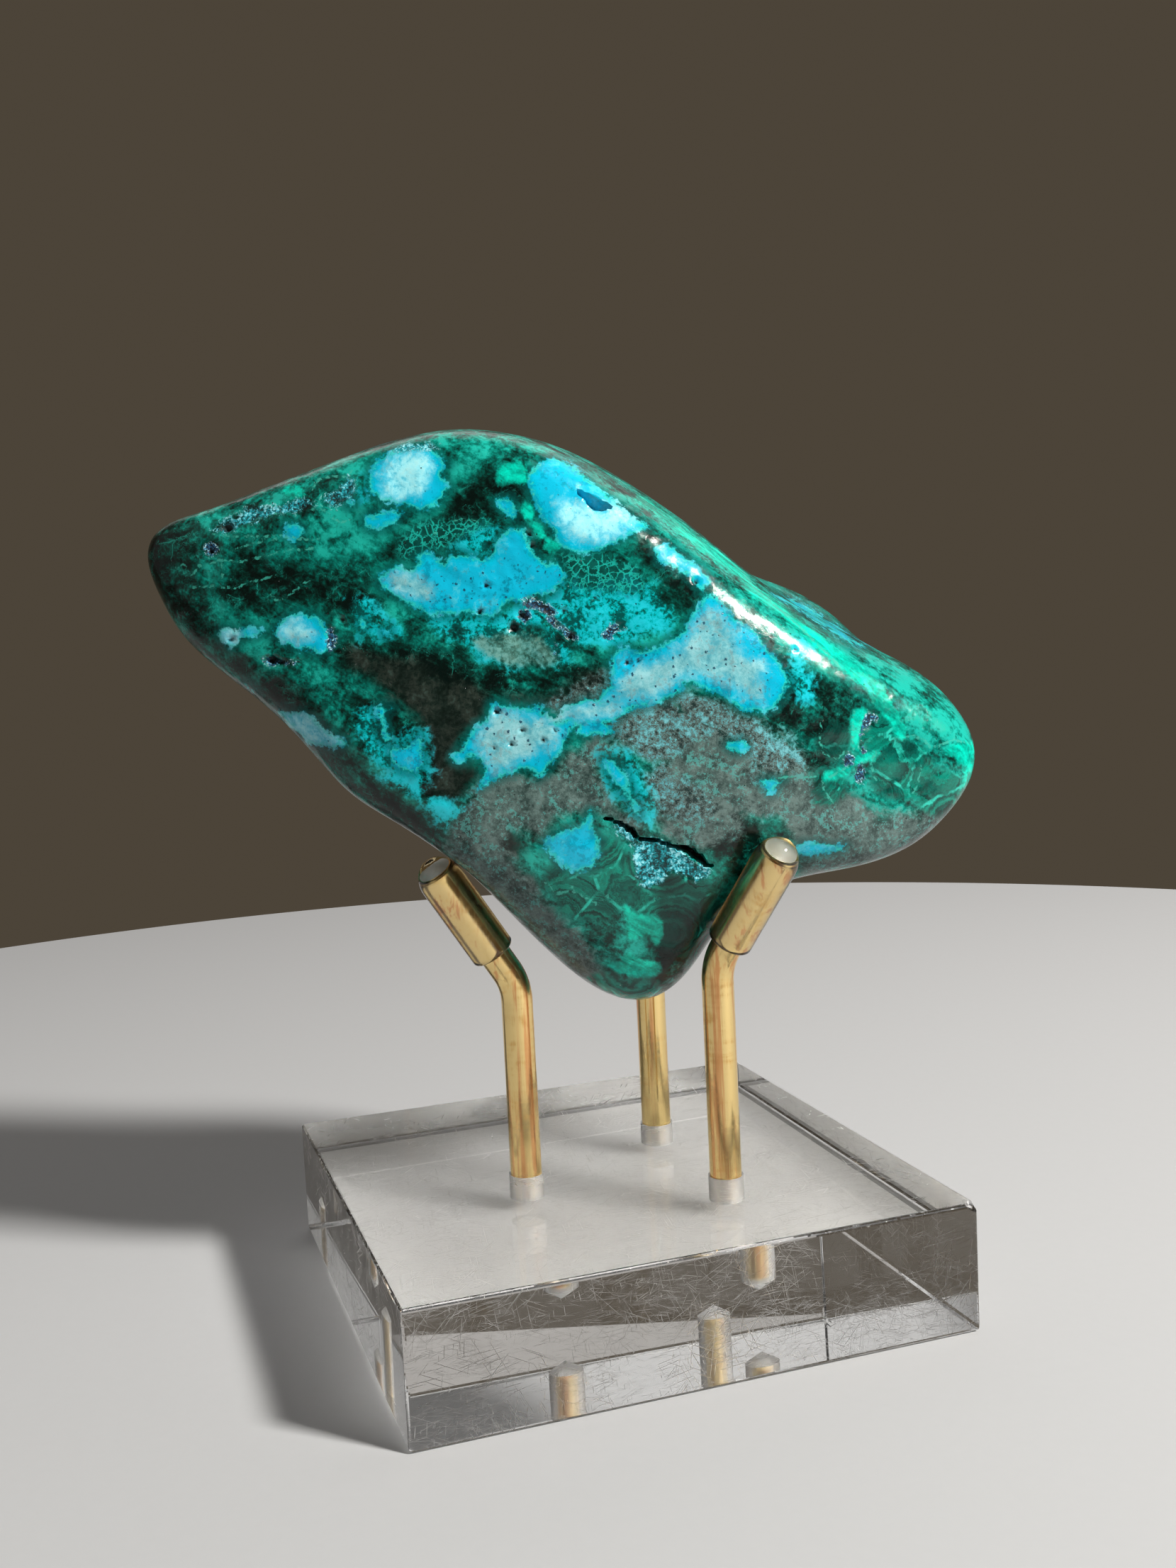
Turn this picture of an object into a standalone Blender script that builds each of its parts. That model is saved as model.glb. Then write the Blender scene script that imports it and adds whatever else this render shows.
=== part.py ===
"""Polished malachite with chrysocolla on a clear block with three bent brass rods in soft clear caps.

Metres, +Z up. The origin is the centre of the block's underside, and the block's front faces -Y.
The stone is described in its own frame, in millimetres: u to the right, v up and w towards the viewer
of its best face, which is turned a little to the left of the block's front.
"""

import math

import bmesh
import bpy
import numpy as np
from mathutils import Matrix, Vector

MM = 0.001

# Clear block
BLOCK_SIDE = 53.0 * MM
BLOCK_HEIGHT = 12.0 * MM
BLOCK_EDGE = 0.45 * MM

# Rods, and the blind holes that hold them
ROD_RADIUS = 1.55 * MM
ROD_SIDES_RESOLUTION = 6
ROD_END_CHAMFER = 0.3 * MM
HOLE_RADIUS = 1.7 * MM
HOLE_DEPTH = 8.0 * MM
HOLE_SIDES = 32
DRILL_POINT_DEG = 118.0
ROD_SINK = 7.8 * MM
BEND_RADIUS = 6.0 * MM
BEND_STEPS = 8

# Soft caps on the rods' ends
CAP_RADIUS = 2.2 * MM
CAP_BORE_RADIUS = 1.65 * MM
CAP_DOME = 2.6 * MM
CAP_DOME_ABOVE_ROD = 1.6 * MM
CAP_LIP = 0.6 * MM
CAP_AIR = 0.2 * MM
CAP_SIDES = 24
ROUND_STEPS = 4

# One rod each: where it stands on the block's top, the direction that it leans to in degrees from +X,
# the height of its straight foot, its lean, and how far along its leaning end the cap starts and the rod
# stops
RODS = {
    "left": {
        "foot": (-8.2, -0.1), "lean_to": 180.0, "lean": 32.0, "rise": 17.3, "cap_from": 2.1, "end": 12.0,
    },
    "right": {
        "foot": (9.25, -9.4), "lean_to": -58.0, "lean": 34.5, "rise": 19.0, "cap_from": 0.7, "end": 11.3,
    },
    "back": {
        "foot": (9.15, 8.9), "lean_to": 58.0, "lean": 33.0, "rise": 16.7, "cap_from": 1.0, "end": 11.8,
    },
}

# The stone, whose mesh starts as a stretched sphere
STONE_CENTRE = (0.0, 4.0, 57.0)
STONE_TURN_DEG = -18.5
STONE_STRETCH = (2.2, 1.4, 0.75)
STONE_DETAIL = 5
STONE_EVENINGS = 6
STONE_SMOOTH_DEG = 40
# An edge is turned if that brings it this many millimetres closer to the surface, and if both triangles
# then still face outward by this much
EDGE_TURNS = 4
LEAST_GAIN = 0.01
LEAST_FACING = 0.01
STONE_REACH = 60.0
OUTLINE_STEPS = 6
HALVINGS = 30

# The best face's outline, u and v, clockwise from the left tip
OUTLINE = (
    (-40.3, 16.3), (-40.0, 19.8), (-37.8, 21.1), (-33.4, 21.6), (-27.9, 23.5), (-23.5, 24.8),
    (-18.2, 26.6), (-10.9, 28.3), (-6.4, 28.0), (-0.9, 26.9), (3.6, 24.9), (9.2, 21.4), (13.9, 17.8),
    (18.4, 13.6), (24.2, 9.3), (31.0, 5.5), (35.9, 3.6), (38.9, 1.1), (40.4, -2.5), (40.6, -5.4),
    (40.0, -8.3), (38.2, -10.8), (35.7, -13.2), (32.7, -15.2), (27.5, -16.6), (21.6, -17.1),
    (17.4, -18.6), (15.0, -20.5), (13.0, -22.7), (11.6, -25.0), (9.7, -27.3), (6.9, -29.1), (4.8, -29.2),
    (1.9, -28.1), (-1.5, -25.2), (-5.7, -20.4), (-8.8, -16.7), (-12.5, -13.1), (-16.7, -9.9),
    (-21.4, -6.8), (-24.5, -2.8), (-28.5, 1.8), (-32.4, 5.1), (-36.5, 8.6), (-38.5, 12.5),
)

# Where the walls are widest: at each angle around the centre in degrees, the w of the rim and how far
# the wall is undercut behind it
RIM = (
    (-180, 6.0, 0.2), (-155, 9.5, 0.8), (-128, 10.8, 1.3), (-100, 4.0, 0.2), (-80, 1.0, 0.0),
    (-50, 3.0, 0.0), (-20, 1.0, 0.0), (0, 0.0, 0.0), (25, -4.0, 0.0), (60, -4.0, 0.0), (100, 1.0, 0.0),
    (155, 4.0, 0.0), (180, 6.0, 0.2),
)

# How the walls draw in from the rim: the w where it ends, how far they have drawn in by then
FRONT_CROWN = (13.0, 2.0)
BACK_CROWN = (-12.5, 5.0)
UNDERCUT_REACH = 3.0
EDGE_SOFTNESS = 1.0
BACK_SOFTNESS = 2.4

# Each polished flat: the direction that it faces in the best face's plane (0 is right, 90 is up), how far
# it leans towards the viewer, and its distance from the stone's centre
FLATS = {
    "front": (110, 86, 12.8),
    "front lower": (-80, 76, 16.3),
    "front right": (-10, 72, 18.2),
    "front left": (165, 76, 18.4),
    "upper right near": (52, 25, 22.0),
    "lower left strip": (-134, 40, 21.8),
    "back": (60, -86, 13.0),
    "back low": (-80, -62, 18.4),
    "back upper right": (50, -52, 20.0),
    "back upper left": (118, -50, 24.0),
    "back lower left": (-132, -48, 19.5),
    "back right end": (-10, -52, 29.0),
    "back left end": (170, -46, 33.0),
}

# A rounded shoulder behind the upper right edge: its centre, its half-lengths and how far its long axis
# is turned
SHOULDER_CENTRE = (21.5, 2.4, -6.5)
SHOULDER_SIZE = (11.5, 8.6, 5.5)
SHOULDER_TURN_DEG = -38.0
SHOULDER_SOFTNESS = 1.2

# A worn hollow below the right end, where the right cap holds the stone: the two ends of its axis and its
# radius
HOLLOW_FROM = (17.0, -24.0, 13.0)
HOLLOW_TO = (23.0, -12.0, 18.5)
HOLLOW_RADIUS = 5.86
HOLLOW_SOFTNESS = 0.8

# Open pits in the best face. Each is a path of u, v and half-width, with its greatest depth
CRACK = (
    (2.8, -9.5, 0.4), (5.5, -10.7, 0.5), (7.6, -12.0, 0.5), (9.2, -12.5, 0.8), (10.9, -13.1, 0.9),
    (12.6, -14.6, 0.4),
)
POCKET = ((2.4, 19.9, 0.6), (4.6, 19.4, 0.4))
PITS = ((CRACK, 1.4), (POCKET, 1.1))
PIT_CLEARANCE = 1.4
PIT_CUTS = 3


def clear_scene():
    for found in list(bpy.data.objects):
        bpy.data.objects.remove(found)


def material(name, colour, roughness, metallic=0.0, transmission=0.0, ior=1.5):
    made = bpy.data.materials.new(name)
    made.use_nodes = True
    shader = made.node_tree.nodes["Principled BSDF"]
    shader.inputs["Base Color"].default_value = (*colour, 1.0)
    shader.inputs["Roughness"].default_value = roughness
    shader.inputs["Metallic"].default_value = metallic
    shader.inputs["Transmission Weight"].default_value = transmission
    shader.inputs["IOR"].default_value = ior
    return made


def mesh_object(name, shape, finish, smooth_deg=None):
    """Turns a bmesh into a named object with one material."""
    bmesh.ops.recalc_face_normals(shape, faces=shape.faces)
    mesh = bpy.data.meshes.new(name)
    shape.to_mesh(mesh)
    shape.free()
    mesh.materials.append(finish)
    if smooth_deg is not None:
        mesh.shade_smooth()
        mesh.set_sharp_from_angle(angle=math.radians(smooth_deg))
    made = bpy.data.objects.new(name, mesh)
    bpy.context.scene.collection.objects.link(made)
    return made


def helper(made):
    """Marks an object as a cutter, which is not a piece of the part."""
    made.hide_render = True
    made.display_type = "WIRE"
    return made


def cut(target, cutter):
    boolean = target.modifiers.new("hole", "BOOLEAN")
    boolean.operation = "DIFFERENCE"
    boolean.object = cutter
    return boolean


def turned(profile, sides):
    """A closed bmesh of (radius, height) points turned about Z. Both ends are on the axis."""
    shape = bmesh.new()
    points = [shape.verts.new((radius, 0.0, height)) for radius, height in profile]
    edges = [shape.edges.new(pair) for pair in zip(points, points[1:])]
    bmesh.ops.spin(
        shape,
        geom=points + edges,
        axis=(0, 0, 1),
        cent=(0, 0, 0),
        angle=math.tau,
        steps=sides,
        use_merge=True,
    )
    bmesh.ops.remove_doubles(shape, verts=shape.verts, dist=0.001 * MM)
    return shape


def quarter_round(inner, width, base, height):
    """A quarter ellipse, as (radius, height) points from its outermost point to its end above inner."""
    angles = [math.pi / 2 * step / ROUND_STEPS for step in range(ROUND_STEPS)]
    round_part = [(inner + width * math.cos(angle), base + height * math.sin(angle)) for angle in angles]
    return round_part + [(inner, base + height)]


def foot_point(rod):
    x, y = rod["foot"]
    return Vector((x * MM, y * MM, BLOCK_HEIGHT))


def lean_axis(rod):
    """The direction of a rod's leaning end."""
    turn, lean = math.radians(rod["lean_to"]), math.radians(rod["lean"])
    return Vector((math.cos(turn) * math.sin(lean), math.sin(turn) * math.sin(lean), math.cos(lean)))


def bend_point(rod, angle):
    """A point of the rod's centre line on its bend, angle radians after the straight foot ends."""
    turn = math.radians(rod["lean_to"])
    out = BEND_RADIUS * (1 - math.cos(angle))
    up = rod["rise"] * MM + BEND_RADIUS * math.sin(angle)
    return foot_point(rod) + Vector((math.cos(turn) * out, math.sin(turn) * out, up))


def leaning_point(rod, along):
    """A point of the centre line, along metres up the leaning end."""
    return bend_point(rod, math.radians(rod["lean"])) + lean_axis(rod) * along


def rod_line(rod):
    """The centre line's points with the rod's relative radius at each, less at the chamfered ends."""
    foot = foot_point(rod)
    low = foot - Vector((0, 0, ROD_SINK))
    end = rod["end"] * MM
    narrow = 1 - ROD_END_CHAMFER / ROD_RADIUS
    lean = math.radians(rod["lean"])
    line = [(low, narrow), (low + Vector((0, 0, ROD_END_CHAMFER)), 1.0)]
    line += [(bend_point(rod, lean * step / BEND_STEPS), 1.0) for step in range(BEND_STEPS + 1)]
    line += [(leaning_point(rod, end - ROD_END_CHAMFER), 1.0), (leaning_point(rod, end), narrow)]
    return line


def make_rod(side, rod, brass):
    line = rod_line(rod)
    curve = bpy.data.curves.new("rod_" + side, "CURVE")
    curve.dimensions = "3D"
    curve.bevel_depth = ROD_RADIUS
    curve.bevel_resolution = ROD_SIDES_RESOLUTION
    curve.use_fill_caps = True
    curve.materials.append(brass)
    spline = curve.splines.new("POLY")
    spline.points.add(len(line) - 1)
    for point, (place, radius) in zip(spline.points, line):
        point.co = (*place, 1.0)
        point.radius = radius
    spline.use_smooth = True
    made = bpy.data.objects.new("rod_" + side, curve)
    bpy.context.scene.collection.objects.link(made)
    return made


def make_cap(side, rod, vinyl):
    """A soft round-ended tube over the rod's end, open where the rod goes in."""
    inside = (rod["end"] - rod["cap_from"]) * MM + CAP_AIR
    shoulder = (rod["end"] - rod["cap_from"]) * MM + CAP_DOME_ABOVE_ROD - CAP_DOME
    lip = quarter_round(CAP_RADIUS - CAP_LIP, CAP_LIP, CAP_LIP, -CAP_LIP)[::-1]
    dome = quarter_round(0.0, CAP_RADIUS, shoulder, CAP_DOME)
    bore = [(0.0, inside), (CAP_BORE_RADIUS, inside), (CAP_BORE_RADIUS, 0.0)]
    shape = turned(bore + lip + dome, CAP_SIDES)
    made = mesh_object("cap_" + side, shape, vinyl, smooth_deg=40)
    made.rotation_euler = Vector((0, 0, 1)).rotation_difference(lean_axis(rod)).to_euler()
    made.location = leaning_point(rod, rod["cap_from"] * MM)
    return made


def make_block(clear):
    shape = bmesh.new()
    bmesh.ops.create_cube(shape, size=1.0)
    bmesh.ops.scale(shape, vec=(BLOCK_SIDE, BLOCK_SIDE, BLOCK_HEIGHT), verts=shape.verts)
    bmesh.ops.translate(shape, vec=(0, 0, BLOCK_HEIGHT / 2), verts=shape.verts)
    bmesh.ops.bevel(
        shape, geom=shape.edges[:], offset=BLOCK_EDGE, segments=2, profile=0.5, affect="EDGES", material=-1
    )
    block = mesh_object("block", shape, clear)
    for side, rod in RODS.items():
        cut(block, make_hole(side, rod, clear))
    return block


def make_hole(side, rod, clear):
    """The drill's shape, from above the block's top down to its point."""
    point = HOLE_RADIUS / math.tan(math.radians(DRILL_POINT_DEG / 2))
    above = 1.0 * MM
    profile = [(0.0, above), (HOLE_RADIUS, above), (HOLE_RADIUS, -HOLE_DEPTH), (0.0, -HOLE_DEPTH - point)]
    drill = helper(mesh_object("drill_" + side, turned(profile, HOLE_SIDES), clear))
    drill.location = foot_point(rod)
    return drill


def soft_largest(values, softness):
    """The largest value of each row, rounded off where two are close."""
    top = values.max(1)
    return top + softness * np.log(np.exp((values - top[:, None]) / softness).sum(1))


def soft_smallest(values, softness):
    return -soft_largest(-values, softness)


def smooth_loop(points, steps):
    """A closed smooth curve through the points."""
    points = np.array(points)
    before, after, later = (np.roll(points, shift, axis=0) for shift in (1, -1, -2))
    rows = []
    for t in np.arange(steps) / steps:
        ease_in = t * t * (3 - 2 * t)
        pull_out = t * (1 - t) ** 2
        pull_in = t * t * (t - 1)
        rows.append(
            points * (1 - ease_in) + after * ease_in
            + (after - before) / 2 * pull_out + (later - points) / 2 * pull_in
        )
    return np.stack(rows, 1).reshape(-1, 2)


def outline_by_angle():
    """The outline's angle, radius and the cosine between its own normal and the ray from the centre."""
    loop = smooth_loop(OUTLINE, OUTLINE_STEPS)
    ahead = np.roll(loop, -1, axis=0) - np.roll(loop, 1, axis=0)
    radius = np.linalg.norm(loop, axis=1)
    outward = np.stack([-ahead[:, 1], ahead[:, 0]], 1) / np.linalg.norm(ahead, axis=1)[:, None]
    slant = (outward * loop).sum(1) / radius
    angle = np.arctan2(loop[:, 1], loop[:, 0])
    order = np.argsort(angle)
    return angle[order], radius[order], slant[order]


def flat_planes():
    """Unit normals and distances of the polished flats, in the stone's frame."""
    rows = np.array(list(FLATS.values()), float)
    facing, lean = np.radians(rows[:, 0]), np.radians(rows[:, 1])
    normals = np.stack([np.cos(facing) * np.cos(lean), np.sin(facing) * np.cos(lean), np.sin(lean)], 1)
    return normals, rows[:, 2]


OUTLINE_ANGLE, OUTLINE_RADIUS, OUTLINE_SLANT = outline_by_angle()
FLAT_NORMALS, FLAT_DISTANCES = flat_planes()


def crown(along, rim, end, inset):
    """How far a wall draws in on its way from the rim to the end, as a quarter of a round."""
    return inset * np.clip((along - rim) / (end - rim), 0, None) ** 2


def outside_walls(points):
    """How far points lie outside the stone's rounded walls."""
    angle = np.arctan2(points[:, 1], points[:, 0])
    radius = np.interp(angle, OUTLINE_ANGLE, OUTLINE_RADIUS, period=math.tau)
    slant = np.interp(angle, OUTLINE_ANGLE, OUTLINE_SLANT, period=math.tau)
    turns, rims, undercuts = np.transpose(RIM)
    rim = np.interp(np.degrees(angle), turns, rims)
    undercut = np.interp(np.degrees(angle), turns, undercuts)
    wall = (np.hypot(points[:, 0], points[:, 1]) - radius) * slant
    behind = undercut * (1 - np.exp(-np.clip(rim - points[:, 2], 0, None) / UNDERCUT_REACH))
    return wall + behind + crown(points[:, 2], rim, *FRONT_CROWN) + crown(points[:, 2], rim, *BACK_CROWN)


def outside_shoulder(points):
    turn = math.radians(SHOULDER_TURN_DEG)
    across = points - np.array(SHOULDER_CENTRE)
    along = across[:, 0] * math.cos(turn) + across[:, 1] * math.sin(turn)
    over = across[:, 1] * math.cos(turn) - across[:, 0] * math.sin(turn)
    scaled = np.stack([along, over, across[:, 2]], 1) / np.array(SHOULDER_SIZE)
    return (np.linalg.norm(scaled, axis=1) - 1) * min(SHOULDER_SIZE)


def inside_hollow(points):
    """How deep points lie in the worn hollow, which is a rod shape with round ends."""
    start, end = np.array(HOLLOW_FROM), np.array(HOLLOW_TO)
    axis = end - start
    part = np.clip((points - start) @ axis / (axis @ axis), 0, 1)
    return HOLLOW_RADIUS - np.linalg.norm(points - start - part[:, None] * axis, axis=1)


def outside_stone(points):
    """How many millimetres points of the stone's frame lie outside its surface. Inside is negative."""
    flats = points @ FLAT_NORMALS.T - FLAT_DISTANCES
    in_front = FLAT_NORMALS[:, 2] > 0
    body = soft_largest(np.column_stack([flats[:, ~in_front], outside_walls(points)]), BACK_SOFTNESS)
    body = soft_largest(np.column_stack([flats[:, in_front], body]), EDGE_SOFTNESS)
    body = soft_smallest(np.column_stack([body, outside_shoulder(points)]), SHOULDER_SOFTNESS)
    return soft_largest(np.column_stack([body, inside_hollow(points)]), HOLLOW_SOFTNESS)


def pit_depth(points, path, deepest):
    """How deep one pit is at each point of the best face, and how far the point is past the pit's edge."""
    depth, beyond = np.zeros(len(points)), np.full(len(points), np.inf)
    for start, end in zip(np.array(path), np.array(path)[1:]):
        axis = end[:2] - start[:2]
        part = np.clip((points[:, :2] - start[:2]) @ axis / (axis @ axis), 0, 1)
        away = np.linalg.norm(points[:, :2] - start[:2] - part[:, None] * axis, axis=1)
        half_width = start[2] + part * (end[2] - start[2])
        depth = np.maximum(depth, deepest * np.clip(1 - (away / half_width) ** 2, 0, 1))
        beyond = np.minimum(beyond, away - half_width)
    facing = points[:, 2] > 0
    return np.where(facing, depth, 0), np.where(facing, beyond, np.inf)


def surface_points(directions):
    """Where rays from the stone's centre leave its smooth surface, found by halving."""
    near, far = np.zeros(len(directions)), np.full(len(directions), STONE_REACH)
    for _ in range(HALVINGS):
        middle = (near + far) / 2
        outside = outside_stone(directions * middle[:, None]) > 0
        far = np.where(outside, middle, far)
        near = np.where(outside, near, middle)
    return directions * near[:, None]


def set_on_surface(shape):
    """Moves every vertex along its ray from the centre, onto the stone's surface and down into its pits."""
    rays = np.array([v.co for v in shape.verts])
    rays /= np.linalg.norm(rays, axis=1)[:, None]
    places = surface_points(rays)
    depth = sum(pit_depth(places, path, deepest)[0] for path, deepest in PITS)
    for vertex, place in zip(shape.verts, places - rays * depth[:, None]):
        vertex.co = place


def turn_edges_to_surface(shape):
    """Turns each edge whose other diagonal lies closer to the surface, so ridges run along edges."""
    edges = [edge for edge in shape.edges if edge.is_manifold]
    across = [[face_corner(face, edge) for face in edge.link_faces] for edge in edges]
    now = np.array([(edge.verts[0].co + edge.verts[1].co) / 2 for edge in edges])
    other = np.array([(one.co + two.co) / 2 for one, two in across])
    gain = np.abs(outside_stone(now)) - np.abs(outside_stone(other))
    touched = set()
    for index in np.argsort(-gain):
        around = {*edges[index].verts, *across[index]}
        if gain[index] > LEAST_GAIN and not touched & around and can_turn(edges[index], *across[index]):
            touched |= around
            bmesh.utils.edge_rotate(edges[index], False)


def can_turn(edge, one, two):
    """Whether both triangles would still face away from the stone's centre after the turn."""
    start = next(loop.vert for loop in edge.link_loops if one in loop.face.verts)
    end = edge.other_vert(start)
    sides = one.co.cross(start.co).dot(two.co), two.co.cross(end.co).dot(one.co)
    return min(sides) > LEAST_FACING * one.co.length * two.co.length


def face_corner(face, edge):
    """The corner of a triangle that isn't on the edge."""
    return next(vertex for vertex in face.verts if vertex not in edge.verts)


def refine_round_pits(shape):
    """Cuts the mesh finer where a pit needs it."""
    middles = np.array([(e.verts[0].co + e.verts[1].co) / 2 for e in shape.edges])
    beyond = np.min([pit_depth(middles, path, deepest)[1] for path, deepest in PITS], axis=0)
    chosen = [edge for edge, past in zip(shape.edges, beyond) if past < PIT_CLEARANCE]
    bmesh.ops.subdivide_edges(shape, edges=chosen, cuts=PIT_CUTS, use_grid_fill=True)
    bmesh.ops.triangulate(shape, faces=shape.faces)


def stone_matrix():
    """From the stone's frame, in millimetres, to the part's, in metres."""
    turn = Matrix.Rotation(math.radians(STONE_TURN_DEG), 4, "Z")
    axes = Matrix(((1, 0, 0, 0), (0, 0, -1, 0), (0, 1, 0, 0), (0, 0, 0, 1)))
    return Matrix.Translation(Vector(STONE_CENTRE) * MM) @ turn @ axes @ Matrix.Scale(MM, 4)


def make_stone(mineral):
    shape = bmesh.new()
    bmesh.ops.create_icosphere(shape, subdivisions=STONE_DETAIL, radius=1.0)
    bmesh.ops.scale(shape, vec=STONE_STRETCH, verts=shape.verts)
    every_way = {"use_axis_x": True, "use_axis_y": True, "use_axis_z": True}
    for _ in range(STONE_EVENINGS):
        set_on_surface(shape)
        bmesh.ops.smooth_vert(shape, verts=shape.verts, factor=1.0, **every_way)
    for _ in range(EDGE_TURNS):
        set_on_surface(shape)
        turn_edges_to_surface(shape)
    refine_round_pits(shape)
    set_on_surface(shape)
    bmesh.ops.transform(shape, matrix=stone_matrix(), verts=shape.verts)
    return mesh_object("stone", shape, mineral, smooth_deg=STONE_SMOOTH_DEG)


def main():
    clear_scene()
    mineral = material("green and blue polished stone", (0.02, 0.22, 0.16), 0.12)
    clear = material("clear block", (0.95, 0.97, 1.0), 0.02, transmission=1.0, ior=1.49)
    brass = material("brass", (0.83, 0.6, 0.22), 0.2, metallic=1.0)
    vinyl = material("clear soft cap", (0.95, 0.95, 0.92), 0.06, transmission=1.0, ior=1.5)
    make_block(clear)
    for side, rod in RODS.items():
        make_rod(side, rod, brass)
        make_cap(side, rod, vinyl)
    make_stone(mineral)


main()
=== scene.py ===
"""Polished malachite with chrysocolla on its clear stand, dressed for a render.

Metres, +Z up. The origin is the centre of the block's underside, and the block's front faces -Y. The stone's
colours are laid out as it is seen from the camera: their outlines are in pixels of its picture, and they are
turned into attributes of the stone's mesh, so they stay put in every other view.
"""

import math

import bmesh
import bpy
import numpy as np
from bpy.props import FloatProperty, FloatVectorProperty, IntProperty, PointerProperty
from mathutils import Matrix, Vector, noise
from mathutils.bvhtree import BVHTree


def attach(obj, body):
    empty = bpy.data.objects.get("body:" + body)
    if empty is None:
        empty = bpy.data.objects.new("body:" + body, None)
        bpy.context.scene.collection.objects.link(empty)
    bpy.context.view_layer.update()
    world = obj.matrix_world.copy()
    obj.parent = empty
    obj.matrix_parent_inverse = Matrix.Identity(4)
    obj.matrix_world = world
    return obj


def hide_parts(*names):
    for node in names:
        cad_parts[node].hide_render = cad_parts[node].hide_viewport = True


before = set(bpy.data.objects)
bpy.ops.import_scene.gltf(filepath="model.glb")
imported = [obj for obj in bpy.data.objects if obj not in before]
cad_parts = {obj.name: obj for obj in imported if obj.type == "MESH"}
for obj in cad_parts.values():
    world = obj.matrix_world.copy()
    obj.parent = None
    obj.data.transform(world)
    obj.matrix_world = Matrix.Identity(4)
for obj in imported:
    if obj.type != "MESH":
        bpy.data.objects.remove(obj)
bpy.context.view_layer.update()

bl_info = {
    "name": "Malachite on a clear stand",
    "version": (1, 0, 0),
    "blender": (4, 5, 0),
    "location": "3D View > Sidebar > Mineral",
    "description": "Makes a polished malachite, its clear block, its brass rods and their clear caps",
    "category": "Object",
}

MM = 0.001

# The camera: its place, its axes in the part's frame, and its picture
EYE = np.array((-0.04845, -0.14518, 0.06486))
EYE_RIGHT = np.array((0.9454, -0.3222, -0.0489))
EYE_DOWN = np.array((-0.0772, -0.0755, -0.9942))
EYE_AHEAD = np.array((0.3167, 0.9436, -0.0962))
PICTURE_WIDTH, PICTURE_HEIGHT = 1659, 2212
FOCAL_PIXELS = 2200.8
SENSOR_MM = 36.0
PIXELS_PER_MM = 13.6

# The stone's own frame, and its mesh
STONE_CENTRE = (0.0, 4.0, 57.0)
STONE_TURN_DEG = -18.5
STONE_STRETCH = (2.2, 1.4, 0.75)
STONE_SUBDIVISIONS = 7
STONE_EVENINGS = 5
STONE_POLISHES, LAST_POLISH = 14, 0.5
FINE_FACING = 0.62
RAY_START = 200.0
SOLID_WELD = 0.001 * MM

# How patterns lie: along the stone's upper right ridge, and the acrylic's scratches, in degrees
RIDGE_TURN = (0.0, 33.0, -18.5)
ACRYLIC_SCRATCHES = (12, -28, 47, -63, 81, 4)

# Where the view sees the stone, from how squarely its surface faces the eye
SEEN_FROM, SEEN_TO = -0.05, 0.12
FAR_MM = 4.0
LOOP_STEPS = 6

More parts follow.
